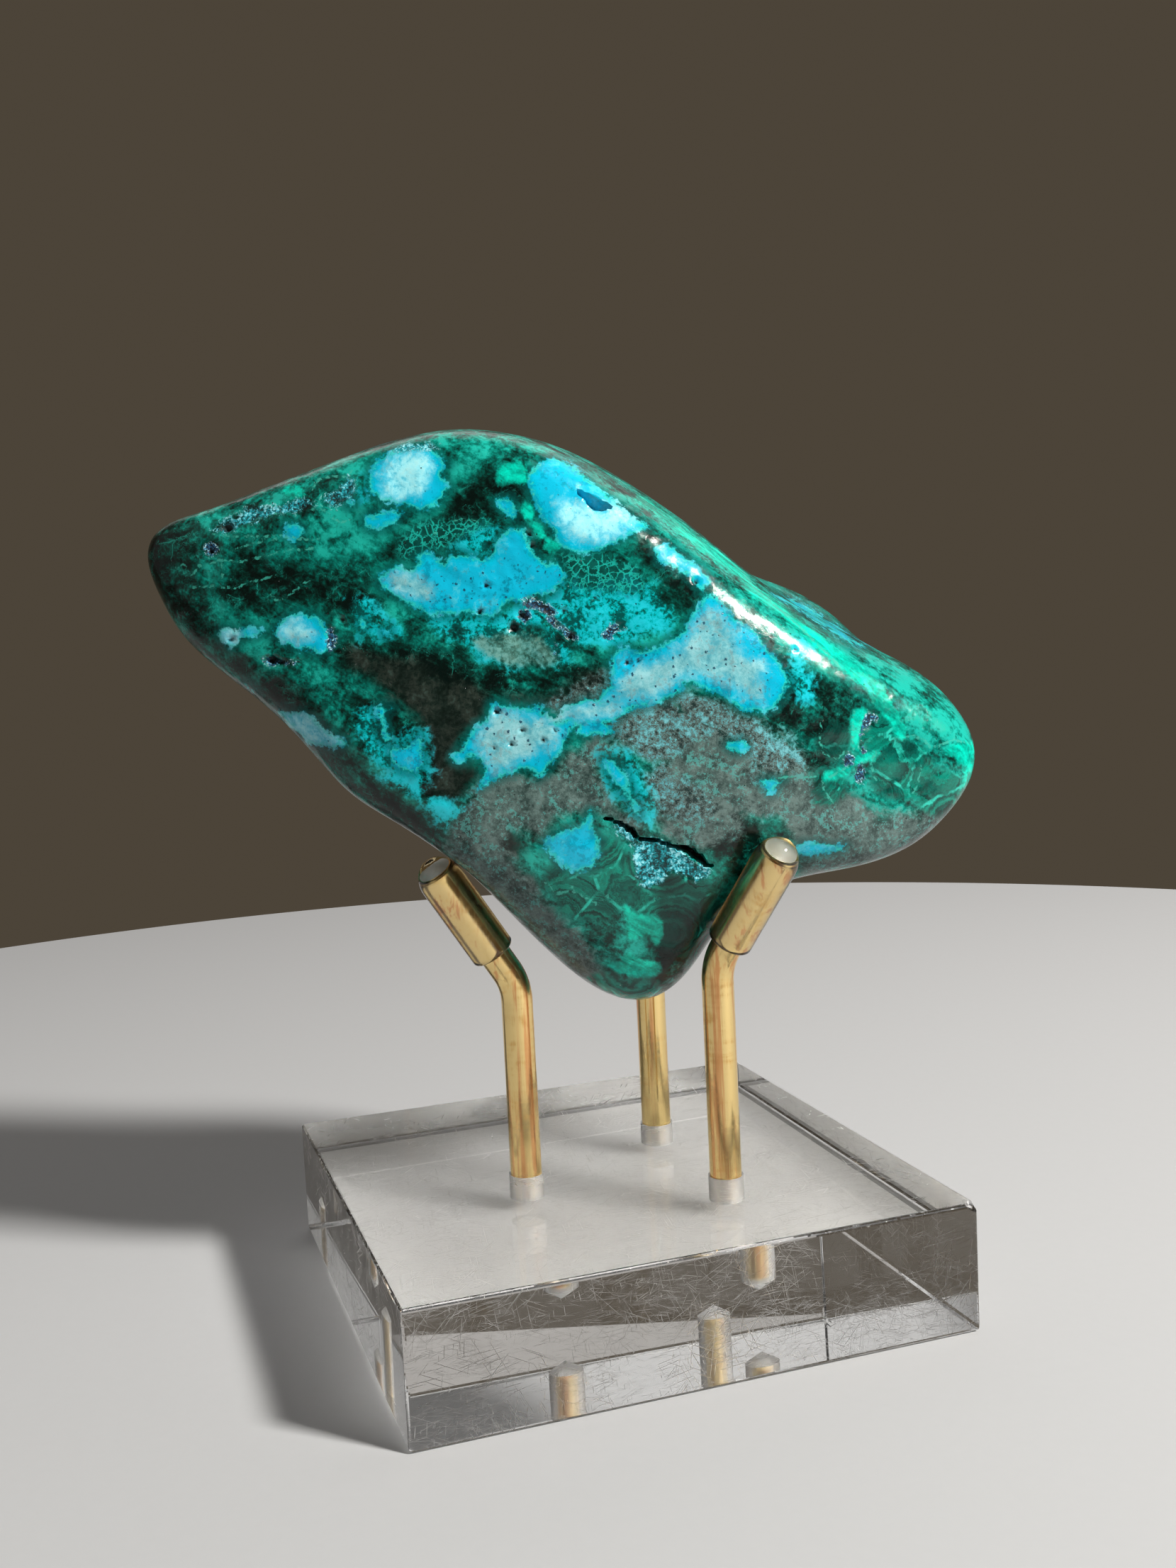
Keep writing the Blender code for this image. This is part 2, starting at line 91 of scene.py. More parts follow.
# Outlines of the stone's areas, in pixels of the camera's picture
BLUE = {
    "upper left": (
        (526, 655), (535, 645), (550, 637), (568, 632), (590, 629), (608, 632), (620, 643), (632, 655),
        (624, 668), (634, 685), (630, 697), (622, 708), (612, 716), (592, 721), (576, 717), (560, 711),
        (545, 707), (530, 700), (518, 692), (520, 675),
    ),
    "below upper left": (
        (512, 731), (530, 722), (552, 720), (575, 722), (565, 732), (550, 742), (530, 748), (515, 744),
    ),
    "upper right": (
        (775, 645), (800, 650), (820, 662), (840, 685), (862, 702), (885, 720), (905, 735), (918, 742),
        (910, 748), (895, 752), (870, 765), (850, 775), (830, 780), (812, 779), (798, 775), (786, 766),
        (778, 748), (766, 735), (755, 720), (752, 705), (748, 695), (742, 680), (742, 668), (752, 660),
    ),
    "bean": (
        (700, 704), (712, 702), (724, 705), (728, 718), (732, 730), (722, 733), (710, 722), (702, 714),
    ),
    "fleck": ((488, 700), (498, 702), (500, 712), (490, 714), (482, 708)),
    "left fleck": (
        (402, 742), (415, 738), (425, 742), (430, 752), (422, 760), (416, 767), (408, 760), (402, 752),
    ),
    "long": (
        (534, 812), (545, 801), (562, 797), (578, 804), (586, 795), (587, 782), (600, 777), (614, 783),
        (626, 794), (636, 783), (655, 781), (680, 788), (694, 780), (700, 765), (710, 752), (724, 744),
        (740, 745), (748, 762), (760, 782), (775, 794), (790, 792), (800, 808), (793, 824), (778, 836),
        (760, 842), (742, 850), (720, 850), (704, 862), (694, 872), (684, 868), (660, 864), (640, 868),
        (622, 866), (604, 868), (588, 861), (570, 850), (552, 838), (537, 828),
    ),
    "bridge": (
        (905, 925), (945, 935), (965, 970), (930, 990), (885, 1005), (855, 1022), (820, 1024), (790, 1020),
        (795, 1000), (825, 985), (850, 985), (862, 955), (870, 935),
    ),
    "ridge band": (
        (922, 775), (935, 765), (950, 770), (965, 782), (980, 795), (1000, 810), (1008, 822), (1000, 830),
        (985, 835), (975, 820), (962, 808), (945, 797), (930, 792),
    ),
    "great": (
        (985, 856), (972, 872), (960, 892), (940, 906), (920, 915), (900, 918), (882, 913), (866, 920),
        (862, 940), (868, 955), (855, 968), (845, 980), (838, 992), (850, 998), (870, 990), (890, 982),
        (915, 980), (935, 985), (950, 975), (962, 965), (975, 962), (990, 970), (1000, 978), (1015, 980),
        (1030, 988), (1040, 997), (1050, 1005), (1065, 1003), (1080, 1003), (1092, 998), (1102, 988),
        (1110, 975), (1118, 962), (1112, 950), (1105, 940), (1098, 930), (1092, 922), (1085, 912),
        (1075, 898), (1065, 888), (1050, 880), (1040, 872), (1030, 862), (1018, 848), (1008, 838),
        (995, 840),
    ),
    "tongue": (
        (690, 993), (703, 990), (720, 996), (745, 997), (762, 995), (770, 1005), (785, 1015), (795, 1012),
        (805, 1003), (812, 1008), (815, 1022), (805, 1035), (800, 1045), (790, 1062), (780, 1078),
        (770, 1092), (757, 1100), (752, 1090), (742, 1085), (725, 1090), (705, 1098), (692, 1104),
        (676, 1112), (680, 1095), (682, 1080), (675, 1070), (665, 1068), (655, 1075), (645, 1075),
        (637, 1068), (645, 1058), (655, 1045), (665, 1032), (675, 1022), (685, 1015), (690, 1005),
    ),
    "tongue tip": (
        (818, 1020), (830, 1012), (848, 1015), (860, 1022), (868, 1032), (858, 1038), (840, 1035),
        (828, 1040), (815, 1035),
    ),
    "strip": (
        (850, 1072), (862, 1070), (872, 1080), (882, 1092), (890, 1108), (896, 1122), (904, 1135),
        (902, 1150), (893, 1142), (882, 1124), (870, 1108), (862, 1095), (855, 1082),
    ),
    "raft": ((1022, 1050), (1035, 1044), (1050, 1046), (1056, 1054), (1045, 1062), (1032, 1060)),
    "wedge": ((1070, 1099), (1085, 1098), (1109, 1101), (1098, 1110), (1088, 1120), (1078, 1111)),
    "heart": (
        (766, 1186), (780, 1178), (795, 1172), (808, 1165), (820, 1160), (826, 1152), (832, 1140),
        (838, 1150), (838, 1165), (845, 1180), (848, 1195), (845, 1212), (838, 1225), (825, 1230),
        (808, 1228), (792, 1222), (782, 1210), (772, 1200),
    ),
    "oval": (
        (385, 890), (395, 877), (410, 868), (428, 865), (445, 868), (458, 880), (466, 895), (468, 910),
        (455, 922), (435, 920), (415, 915), (398, 905), (388, 898),
    ),
    "left oval": (
        (308, 890), (322, 885), (335, 892), (350, 883), (360, 887), (372, 890), (358, 897), (340, 903),
        (330, 912), (320, 910), (310, 900),
    ),
    "hook": (
        (532, 998), (546, 996), (556, 998), (548, 1006), (545, 1018), (548, 1030), (552, 1042), (545, 1048),
        (536, 1042), (533, 1032), (536, 1018), (530, 1008),
    ),
    "freckled": (
        (553, 1055), (575, 1050), (590, 1040), (597, 1048), (598, 1065), (597, 1080), (585, 1090),
        (565, 1085), (552, 1078), (550, 1065),
    ),
    "small": ((503, 874), (512, 872), (520, 880), (516, 888), (506, 887)),
    "small right": ((540, 888), (548, 889), (550, 896), (542, 897)),
    "bevel": (
        (385, 1003), (400, 1000), (430, 1005), (450, 1020), (470, 1035), (490, 1045), (482, 1055),
        (460, 1056), (440, 1050), (420, 1035), (400, 1018),
    ),
    "bevel fleck": ((343, 962), (356, 968), (364, 976), (356, 980), (347, 972)),
    "shoulder": (
        (1088, 838), (1130, 848), (1165, 872), (1195, 892), (1222, 912), (1205, 912), (1175, 893),
        (1140, 870), (1110, 852),
    ),
    "low right": (
        (1128, 1192), (1150, 1188), (1172, 1192), (1195, 1190), (1185, 1200), (1155, 1206), (1130, 1208),
    ),
}
PALE = {
    "bridge": (
        (905, 940), (945, 950), (945, 965), (915, 982), (880, 994), (850, 1010), (815, 1014), (775, 1020),
        (775, 1012), (815, 998), (845, 992), (868, 975), (885, 955),
    ),
    "upper left": (
        (545, 655), (560, 642), (585, 640), (603, 650), (606, 668), (600, 688), (585, 700), (565, 702),
        (545, 698), (538, 680),
    ),
    "upper right": (
        (785, 712), (800, 708), (820, 712), (845, 716), (870, 712), (890, 722), (898, 735), (880, 745),
        (862, 757), (845, 763), (820, 760), (803, 750), (790, 735),
    ),
    "long": (
        (545, 812), (565, 808), (590, 812), (605, 822), (612, 838), (605, 850), (590, 848), (572, 838),
        (555, 828),
    ),
    "great": (
        (990, 870), (975, 890), (965, 908), (945, 925), (920, 938), (895, 950), (880, 962), (865, 978),
        (880, 982), (905, 972), (935, 965), (960, 955), (985, 952), (1005, 958), (1025, 965), (1045, 975),
        (1055, 985), (1070, 990), (1080, 985), (1078, 970), (1075, 955), (1080, 940), (1070, 930),
        (1050, 925), (1042, 910), (1040, 895), (1030, 880), (1015, 865), (1000, 858),
    ),
    "tongue": (
        (700, 1003), (730, 1008), (765, 1012), (790, 1025), (790, 1040), (770, 1055), (745, 1065),
        (720, 1080), (700, 1090), (690, 1080), (682, 1062), (670, 1055), (675, 1040), (690, 1022),
    ),
    "oval": ((395, 890), (410, 880), (430, 880), (440, 890), (440, 905), (425, 905), (405, 900)),
    "left oval": ((314, 892), (326, 889), (336, 895), (330, 905), (318, 902)),
    "bevel": (
        (395, 1005), (420, 1008), (445, 1022), (470, 1040), (478, 1048), (455, 1050), (430, 1038),
        (408, 1020),
    ),
}
TEAL = {
    "right": (
        (800, 810), (830, 812), (860, 815), (890, 812), (915, 825), (935, 840), (945, 860), (948, 880),
        (930, 892), (905, 897), (880, 905), (860, 910), (840, 905), (820, 905), (800, 900), (785, 890),
        (770, 880), (760, 868), (770, 850), (785, 838),
    ),
    "middle": (
        (640, 775), (655, 760), (672, 742), (690, 738), (705, 742), (700, 765), (694, 780), (680, 788),
        (655, 781),
    ),
    "lower left": (
        (600, 868), (625, 870), (650, 868), (675, 868), (700, 868), (730, 855), (760, 850), (770, 880),
        (790, 895), (800, 915), (795, 935), (770, 940), (730, 938), (700, 930), (680, 918), (655, 902),
        (635, 893), (615, 884),
    ),
    "tail": ((512, 672), (520, 690), (512, 700), (505, 698), (510, 686)),
    "left": (
        (495, 850), (515, 848), (528, 862), (540, 880), (560, 888), (562, 897), (535, 900), (512, 897),
        (498, 882), (493, 866),
    ),
    "lower": (
        (600, 1130), (622, 1128), (640, 1135), (652, 1128), (664, 1122), (656, 1145), (640, 1158),
        (622, 1166), (608, 1155), (596, 1142),
    ),
    "freckled": (
        (500, 1010), (525, 1005), (545, 1050), (560, 1040), (600, 1035), (606, 1070), (604, 1100),
        (590, 1120), (560, 1112), (540, 1090), (520, 1060), (505, 1035),
    ),
    "strip": (
        (845, 1062), (880, 1062), (900, 1085), (912, 1110), (925, 1130), (915, 1160), (890, 1150),
        (868, 1120), (852, 1095),
    ),
    "bevel": ((1128, 905), (1145, 912), (1135, 945), (1150, 960), (1140, 985), (1120, 972), (1112, 940)),
}
BROWN = {
    "left": (
        (540, 930), (600, 935), (615, 955), (650, 962), (690, 985), (690, 1000), (680, 1015), (660, 1032),
        (645, 1055), (640, 1078), (670, 1078), (678, 1092), (672, 1108), (650, 1128), (625, 1130),
        (605, 1115), (600, 1090), (600, 1040), (590, 1010), (560, 985), (530, 960), (490, 930), (500, 918),
    ),
    "middle": (
        (700, 985), (760, 985), (800, 970), (840, 950), (855, 965), (840, 988), (808, 1002), (770, 996),
        (730, 990),
    ),
    "far right": (
        (1120, 1095), (1155, 1100), (1200, 1120), (1230, 1150), (1200, 1180), (1150, 1170), (1110, 1150),
        (1105, 1120),
    ),
    "bottom": ((640, 1170), (700, 1150), (740, 1190), (720, 1220), (760, 1250), (730, 1260), (680, 1220)),
}
GREY = {
    "bridge": (
        (785, 990), (825, 968), (860, 955), (890, 960), (905, 985), (870, 1012), (825, 1020), (795, 1012),
    ),
    "right": (
        (945, 985), (975, 975), (1000, 985), (1035, 1000), (1080, 1025), (1120, 1050), (1135, 1085),
        (1110, 1098), (1075, 1090), (1045, 1062), (1005, 1030), (965, 1015),
    ),
    "middle": (
        (830, 1000), (870, 992), (905, 985), (945, 985), (965, 1000), (990, 1005), (1010, 1020),
        (1030, 1040), (1050, 1060), (1070, 1080), (1085, 1095), (1095, 1115), (1100, 1140), (1085, 1155),
        (1060, 1150), (1040, 1145), (1010, 1130), (990, 1110), (975, 1090), (940, 1075), (915, 1070),
        (890, 1055), (870, 1045), (850, 1040), (825, 1035), (815, 1020),
    ),
    "lower": (
        (940, 1075), (975, 1090), (1010, 1125), (1040, 1140), (1030, 1175), (990, 1185), (950, 1165),
        (920, 1130), (910, 1095),
    ),
}
# Smoky grey: partly the stone's own grey and partly painted reflection of the pale floor on its lower faces
SMOKE_AND_FLOOR_REFLECTION = {
    "bottom": (
        (640, 1174), (700, 1215), (760, 1265), (800, 1300), (830, 1330), (845, 1362), (880, 1385),
        (920, 1392), (955, 1378), (980, 1355), (985, 1375), (960, 1405), (930, 1425), (900, 1430),
        (860, 1425), (800, 1390), (740, 1340), (690, 1280), (640, 1220),
    ),
    "under the tongue": (
        (678, 1098), (725, 1093), (782, 1093), (805, 1060), (843, 1041), (876, 1060), (867, 1079),
        (845, 1085), (855, 1112), (870, 1140), (905, 1155), (895, 1172), (850, 1150), (815, 1150),
        (782, 1155), (763, 1183), (725, 1174), (711, 1193), (735, 1225), (760, 1265), (730, 1262),
        (687, 1221), (640, 1174), (649, 1136),
    ),
    "shelf": (
        (1100, 1095), (1130, 1088), (1180, 1110), (1230, 1140), (1290, 1150), (1335, 1150), (1300, 1190),
        (1240, 1215), (1170, 1228), (1130, 1232), (1120, 1180), (1095, 1150), (1060, 1160), (1075, 1120),
    ),
    "middle": (
        (955, 1055), (1005, 1042), (1045, 1065), (1075, 1105), (1065, 1145), (1015, 1140), (985, 1112),
        (950, 1090),
    ),
    "below the strip": (
        (930, 1150), (985, 1160), (1020, 1150), (1050, 1165), (1030, 1185), (975, 1190), (940, 1175),
    ),
}
NET = {
    "cells": (
        (790, 785), (812, 776), (845, 778), (880, 792), (908, 812), (900, 835), (850, 832), (812, 832),
        (795, 812),
    ),
    "left": (
        (560, 770), (600, 740), (640, 735), (690, 732), (690, 745), (640, 760), (620, 775), (580, 790),
    ),
}
DEEP_GREEN = {
    "in long": ((703, 802), (722, 802), (742, 812), (742, 821), (728, 826), (714, 817)),
    "in middle": ((737, 888), (760, 880), (775, 892), (768, 905), (752, 900)),
}
BEIGE = {
    "lens": (
        (672, 905), (690, 896), (715, 894), (745, 899), (765, 906), (778, 916), (785, 928), (780, 938),
        (755, 940), (730, 938), (705, 930), (688, 920),
    ),
}
DRUSE = {
    "middle": ((735, 842), (750, 840), (770, 850), (785, 862), (775, 868), (755, 860), (740, 855)),
    "diagonal": (
        (768, 872), (780, 868), (792, 880), (810, 892), (818, 902), (805, 905), (790, 892), (775, 884),
    ),
    "speck": ((733, 862), (745, 862), (750, 872), (742, 880), (734, 874)),
    "below": ((778, 900), (788, 903), (788, 925), (782, 935), (778, 915)),
    "brown": ((845, 895), (860, 882), (880, 878), (885, 888), (868, 893), (860, 903), (850, 900)),
    "left": ((285, 768), (298, 762), (310, 766), (306, 782), (292, 784)),
    "right eye": (
        (1222, 1005), (1238, 1010), (1232, 1025), (1222, 1035), (1218, 1050), (1226, 1060), (1215, 1064),
        (1211, 1040), (1214, 1020),
    ),
    "right low": ((1194, 1062), (1204, 1066), (1202, 1080), (1191, 1084)),
    "right lower": ((1210, 1078), (1222, 1078), (1225, 1095), (1215, 1108), (1206, 1102)),
    "oval edge": ((462, 880), (474, 890), (474, 915), (464, 920), (460, 900)),
    "cross": ((368, 930), (380, 925), (400, 930), (420, 932), (425, 938), (400, 940), (372, 938)),
}
# Dark ground; 'near the right cap' and 'bottom' are the right cap's cast shadow, painted on the stone as dark
# ground
DARK_AND_CAP_SHADOW = {
    "under the green": (
        (300, 830), (340, 800), (400, 790), (440, 800), (500, 785), (560, 760), (600, 765), (560, 790),
        (530, 800), (520, 830), (540, 850), (520, 870), (480, 860), (440, 850), (380, 850), (330, 860),
    ),
    "band": (
        (440, 925), (480, 905), (540, 900), (600, 915), (650, 930), (720, 945), (800, 945), (850, 935),
        (860, 950), (820, 975), (760, 985), (700, 985), (660, 1000), (640, 1030), (600, 1020), (560, 985),
        (500, 950),
    ),
    "low left": (
        (500, 980), (560, 990), (610, 1030), (640, 1080), (660, 1110), (620, 1140), (580, 1120),
        (540, 1060), (510, 1020),
    ),
    "beyond the net": ((905, 770), (950, 790), (985, 812), (985, 850), (962, 850), (935, 818), (905, 795)),
    "right of the great": (
        (1095, 925), (1130, 945), (1180, 958), (1225, 985), (1240, 1010), (1215, 1000), (1200, 1060),
        (1150, 1085), (1120, 1080), (1130, 1040), (1095, 1030), (1085, 980),
    ),
    "right of A": (
        (650, 680), (700, 672), (745, 668), (735, 700), (700, 700), (690, 730), (650, 745), (610, 740),
        (640, 710),
    ),
    "tip": (
        (196, 740), (240, 730), (275, 738), (270, 790), (300, 850), (350, 920), (420, 980), (500, 1070),
        (600, 1160), (700, 1250), (690, 1262), (590, 1185), (480, 1090), (380, 990), (290, 910), (220, 840),
    ),
    # Painted shadow: the right cap's cast shadow, left of the cap
    "near the right cap": (
        (980, 1120), (1020, 1130), (1060, 1160), (1110, 1180), (1110, 1215), (1060, 1230), (1020, 1220),
        (985, 1190), (970, 1150),
    ),
    # Painted shadow: the right cap's cast shadow on the lower lobe
    "bottom": ((930, 1240), (990, 1250), (1000, 1300), (950, 1380), (910, 1390), (920, 1330)),
    "above the long": ((600, 745), (660, 745), (700, 740), (690, 765), (640, 780), (600, 775), (560, 780)),
}
SPECKLED = {
    "great": (
        (880, 930), (940, 880), (1000, 830), (1060, 860), (1110, 920), (1120, 980), (1060, 1000),
        (990, 985), (930, 980), (880, 1000), (830, 1010),
    ),
    "tongue": (
        (640, 1000), (720, 985), (830, 985), (870, 1010), (830, 1060), (760, 1110), (690, 1120),
        (630, 1080),
    ),
    "long": (
        (540, 810), (640, 800), (740, 780), (790, 800), (780, 840), (700, 880), (600, 870), (540, 840),
    ),
    "oval": ((395, 900), (440, 890), (470, 905), (460, 930), (420, 930)),
    "low left": ((515, 985), (560, 985), (620, 1035), (625, 1100), (600, 1110), (540, 1095), (510, 1040)),
    "bridge": ((860, 930), (960, 940), (980, 990), (900, 1020), (840, 1045), (780, 1040), (780, 1000)),
}
FROST = {
    "top left": (
        (300, 748), (315, 735), (340, 728), (355, 715), (385, 718), (415, 705), (430, 700), (440, 712),
        (415, 722), (390, 725), (365, 735), (345, 740), (320, 750),
    ),
    "top": ((460, 700), (478, 690), (490, 675), (500, 680), (496, 700), (480, 712), (465, 714)),
    "ledge": (
        (900, 1190), (920, 1182), (940, 1192), (960, 1202), (980, 1217), (1000, 1228), (990, 1240),
        (970, 1240), (950, 1228), (935, 1240), (915, 1250), (902, 1240), (897, 1215),
    ),
    "lip": ((862, 1158), (880, 1168), (900, 1186), (893, 1190), (874, 1174)),
    "top edge": ((560, 634), (585, 627), (612, 628), (614, 634), (590, 632), (565, 638)),
}
MINT = {
    "band": (
        (905, 700), (940, 722), (980, 754), (1012, 776), (1044, 800), (1064, 826), (1088, 842), (1112, 860),
        (1135, 880), (1160, 902), (1185, 920), (1206, 936), (1232, 955), (1248, 975), (1262, 1000),
        (1272, 1020), (1276, 1040), (1268, 1042), (1258, 1020), (1244, 1000), (1226, 978), (1205, 956),
        (1186, 944), (1172, 930), (1150, 912), (1128, 890), (1104, 870), (1082, 854), (1060, 840),
        (1045, 818), (1025, 800), (1000, 784), (970, 762), (935, 730), (900, 706),
    ),
    "stem": (
        (1205, 1006), (1218, 1002), (1222, 1012), (1214, 1030), (1210, 1050), (1218, 1064), (1240, 1062),
        (1232, 1072), (1212, 1076), (1202, 1080), (1203, 1050), (1202, 1025),
    ),
    "stem foot": ((1165, 1092), (1185, 1084), (1200, 1082), (1195, 1092), (1180, 1098), (1166, 1100)),
    "end": (
        (1335, 1060), (1355, 1050), (1378, 1052), (1382, 1080), (1372, 1105), (1358, 1112), (1362, 1090),
        (1350, 1072),
    ),
    "wedge": (
        (880, 1278), (900, 1290), (922, 1292), (932, 1305), (926, 1330), (914, 1318), (888, 1322),
        (886, 1300),
    ),
    "bottom": (
        (850, 1356), (872, 1358), (886, 1347), (906, 1356), (928, 1362), (926, 1374), (905, 1376),
        (876, 1372),
    ),
    "left": ((402, 692), (412, 684), (425, 688), (428, 700), (412, 702)),
    "top": ((700, 672), (715, 655), (738, 655), (742, 680), (720, 678), (705, 685)),
    "ring": ((738, 715), (746, 710), (752, 722), (748, 732), (740, 728)),
    "fin": ((752, 738), (764, 746), (772, 762), (788, 770), (782, 776), (768, 776), (770, 762), (758, 750)),
}
BRIGHT_GREEN = {
    "facet": (
        (1230, 930), (1280, 945), (1320, 970), (1350, 1000), (1375, 1030), (1385, 1060), (1382, 1090),
        (1365, 1120), (1340, 1140), (1310, 1120), (1305, 1080), (1290, 1045), (1275, 1042), (1262, 1000),
    ),
    "ridge": (
        (780, 640), (830, 655), (880, 690), (930, 725), (1000, 785), (1050, 840), (1110, 890), (1150, 930),
        (1130, 925), (1080, 880), (1040, 845), (1000, 805), (950, 765), (900, 728), (850, 690), (800, 655),
    ),
    "plain": ((1105, 878), (1120, 878), (1140, 895), (1160, 925), (1150, 925), (1125, 905)),
    "arc": (
        (1138, 990), (1152, 985), (1160, 1005), (1156, 1040), (1140, 1075), (1115, 1085), (1132, 1055),
        (1142, 1025),
    ),
    "low": (
        (1100, 1100), (1200, 1090), (1290, 1120), (1310, 1150), (1250, 1160), (1170, 1140), (1110, 1130),
    ),
}

# Centres and radii of the malachite's banded eyes, in pixels
EYES = (
    (1178, 1045, 24), (1242, 1030, 30), (1272, 1086, 42), (1168, 1112, 26), (836, 1240, 60), (862, 1220, 22),
    (918, 1268, 32), (790, 1240, 22), (804, 1272, 20), (960, 1290, 60), (1330, 1120, 34), (880, 1420, 60),
)

# Fine pale green lines: each is a path in pixels
LINES = (
    ((300, 754), (330, 757), (370, 757), (405, 755)),
    ((320, 781), (345, 770), (375, 763), (405, 757), (435, 762), (450, 760)),
    ((285, 800), (310, 790), (340, 793), (370, 785), (410, 776), (450, 773)),
    ((270, 828), (300, 827), (332, 830), (360, 819), (392, 812)),
    ((262, 800), (258, 796), (248, 801)),
    ((268, 814), (276, 805), (282, 795)),
    ((380, 838), (392, 848), (408, 840), (425, 826), (440, 816)),
    ((440, 690), (450, 675), (468, 672), (490, 672), (500, 662)),
    ((300, 830), (296, 815), (290, 800)),
    ((310, 790), (316, 805), (312, 818)),
    ((350, 738), (372, 726), (400, 722)),
    ((430, 720), (455, 716), (470, 730), (482, 738), (500, 728)),
    ((1160, 1102), (1164, 1118), (1176, 1132)),
    ((1236, 1061), (1229, 1076), (1232, 1092), (1238, 1102)),
    ((1272, 1040), (1290, 1038), (1304, 1044), (1314, 1055), (1330, 1050), (1345, 1044), (1376, 1050)),
    ((1300, 1080), (1296, 1100), (1288, 1120)),
    ((1158, 1020), (1156, 1045), (1162, 1062), (1180, 1072), (1192, 1060)),
    ((1205, 1000), (1203, 1030), (1204, 1060), (1192, 1084), (1165, 1100)),
    ((806, 1256), (830, 1268), (842, 1276), (860, 1262)),
    ((770, 1245), (788, 1262), (806, 1254), (812, 1238)),
    ((1150, 1096), (1120, 1096), (1090, 1098)),
    ((610, 755), (630, 740), (650, 732), (676, 734)),
    ((965, 1362), (990, 1355), (1000, 1372)),
    ((752, 662), (745, 676), (750, 692), (758, 705)),
    ((1046, 802), (1062, 828), (1086, 848), (1108, 866), (1132, 888), (1152, 908), (1176, 930), (1186, 942)),
)

# Open pits: centre and radius in pixels, and depth in millimetres
PITS = (
    (746, 753, 5, 0.5), (751, 770, 5, 0.5), (677, 863, 5, 0.5), (686, 826, 5, 0.4), (698, 829, 3, 0.3),
    (660, 827, 3, 0.3), (555, 826, 4, 0.3), (725, 886, 8, 0.6), (736, 868, 6, 0.4), (701, 1004, 5, 0.5),
    (737, 1030, 4, 0.4), (721, 1050, 4, 0.4), (766, 1044, 4, 0.3), (783, 1030, 3, 0.3), (697, 1055, 3, 0.3),
    (384, 930, 7, 0.6), (397, 934, 5, 0.4), (326, 902, 4, 0.4), (483, 874, 5, 0.4), (462, 917, 3, 0.3),
    (320, 744, 8, 0.5), (296, 777, 5, 0.4), (983, 820, 5, 0.5), (1011, 882, 3, 0.3), (1031, 911, 3, 0.3),
    (996, 930, 3, 0.3), (1030, 961, 3, 0.2), (1123, 916, 3, 0.3), (775, 866, 4, 0.3), (805, 898, 5, 0.4),
    (855, 898, 4, 0.3), (795, 862, 4, 0.4), (840, 844, 4, 0.3), (420, 932, 3, 0.2), (635, 896, 3, 0.2),
    (885, 935, 5, 0.3), (900, 933, 4, 0.3), (928, 930, 3, 0.2), (720, 765, 2, 0.2),
)

# The crack: a path in pixels with its half-width, and the open pocket near the top
CRACK = (
    (853, 1154, 1.2), (872, 1160, 1.8), (890, 1172, 3.2), (903, 1184, 2.0), (925, 1186, 1.2),
    (948, 1194, 2.4), (968, 1198, 4.4), (985, 1210, 5.2), (1002, 1224, 2.2),
)
CRACK_DEPTH = 1.5
POCKET = ((817, 693, 2.0), (830, 702, 5.0), (840, 711, 8.5), (851, 714, 6.0), (861, 714, 2.0))
POCKET_DEPTH = 1.1
THINNEST_CUT = 0.1

# How round the pits and the cuts are at the bottom, and the relief of the crystal hollows, in millimetres
PIT_ROUNDING, CUT_ROUNDING = 0.7, 0.5
CRYSTAL_GRAIN, CRYSTAL_DEPTH, CRYSTAL_RISE, CRYSTAL_MARGIN = 0.35, 0.16, 0.5, 0.1

# Clouds that take over from the outlines where the camera doesn't see the stone. For each mark: the clouds'
# size in millimetres, seed, octaves, height and level
CLOUDS = {
    "blue": (9.0, 1, 5, 5.0, -1.6),
    "pale": (9.0, 1, 5, 5.0, -3.4),
    "teal": (4.0, 2, 4, 3.0, -0.8),
    "brown": (12.0, 3, 5, 6.0, -1.5),
    "grey": (10.0, 4, 5, 6.0, -2.6),
    "net": (6.0, 5, 3, 4.0, -2.0),
    "smoke": (15.0, 11, 5, 6.0, -3.0),
    "mint": (11.0, 6, 3, 4.0, -2.6),
    "bright": (14.0, 7, 3, 6.0, -0.6),
    "dark": (13.0, 10, 4, 6.0, 0.0),
    "frost": (7.0, 9, 4, 6.0, -3.2),
}
CLOUD_SHIFT, CLOUD_FALL, CLOUD_SPREAD = (17.3, 5.1, 9.7), 0.9, 2.1
OUTLINES = {
    "blue": BLUE, "pale": PALE, "teal": TEAL, "brown": BROWN, "grey": GREY, "net": NET, "smoke": SMOKE_AND_FLOOR_REFLECTION,
    "mint": MINT, "bright": BRIGHT_GREEN, "dark": DARK_AND_CAP_SHADOW, "frost": FROST, "beige": BEIGE, "deep": DEEP_GREEN,
    "druse": DRUSE, "speckled": SPECKLED,
}


class StoneSettings(bpy.types.PropertyGroup):
    """Colours and finish of the stone"""

    cyan: FloatVectorProperty(
        name="Cyan", description="Chrysocolla near the edge of a patch", subtype="COLOR", size=3,
        default=(0.0, 0.40, 0.58), min=0.0, max=1.0,
    )
    pale: FloatVectorProperty(
        name="Pale core", description="Chrysocolla in the middle of a patch", subtype="COLOR", size=3,
        default=(0.26, 0.70, 0.80), min=0.0, max=1.0,
    )
    green: FloatVectorProperty(
        name="Banded green", description="Malachite's light bands", subtype="COLOR", size=3,
        default=(0.0, 0.18, 0.13), min=0.0, max=1.0,
    )
    mint: FloatVectorProperty(
        name="Mint", description="The bright band along the upper right edge", subtype="COLOR", size=3,
        default=(0.0, 0.58, 0.43), min=0.0, max=1.0,
    )
    roughness: FloatProperty(
        name="Polish", description="Roughness of the polished surface", default=0.16, min=0.0, max=1.0,
    )


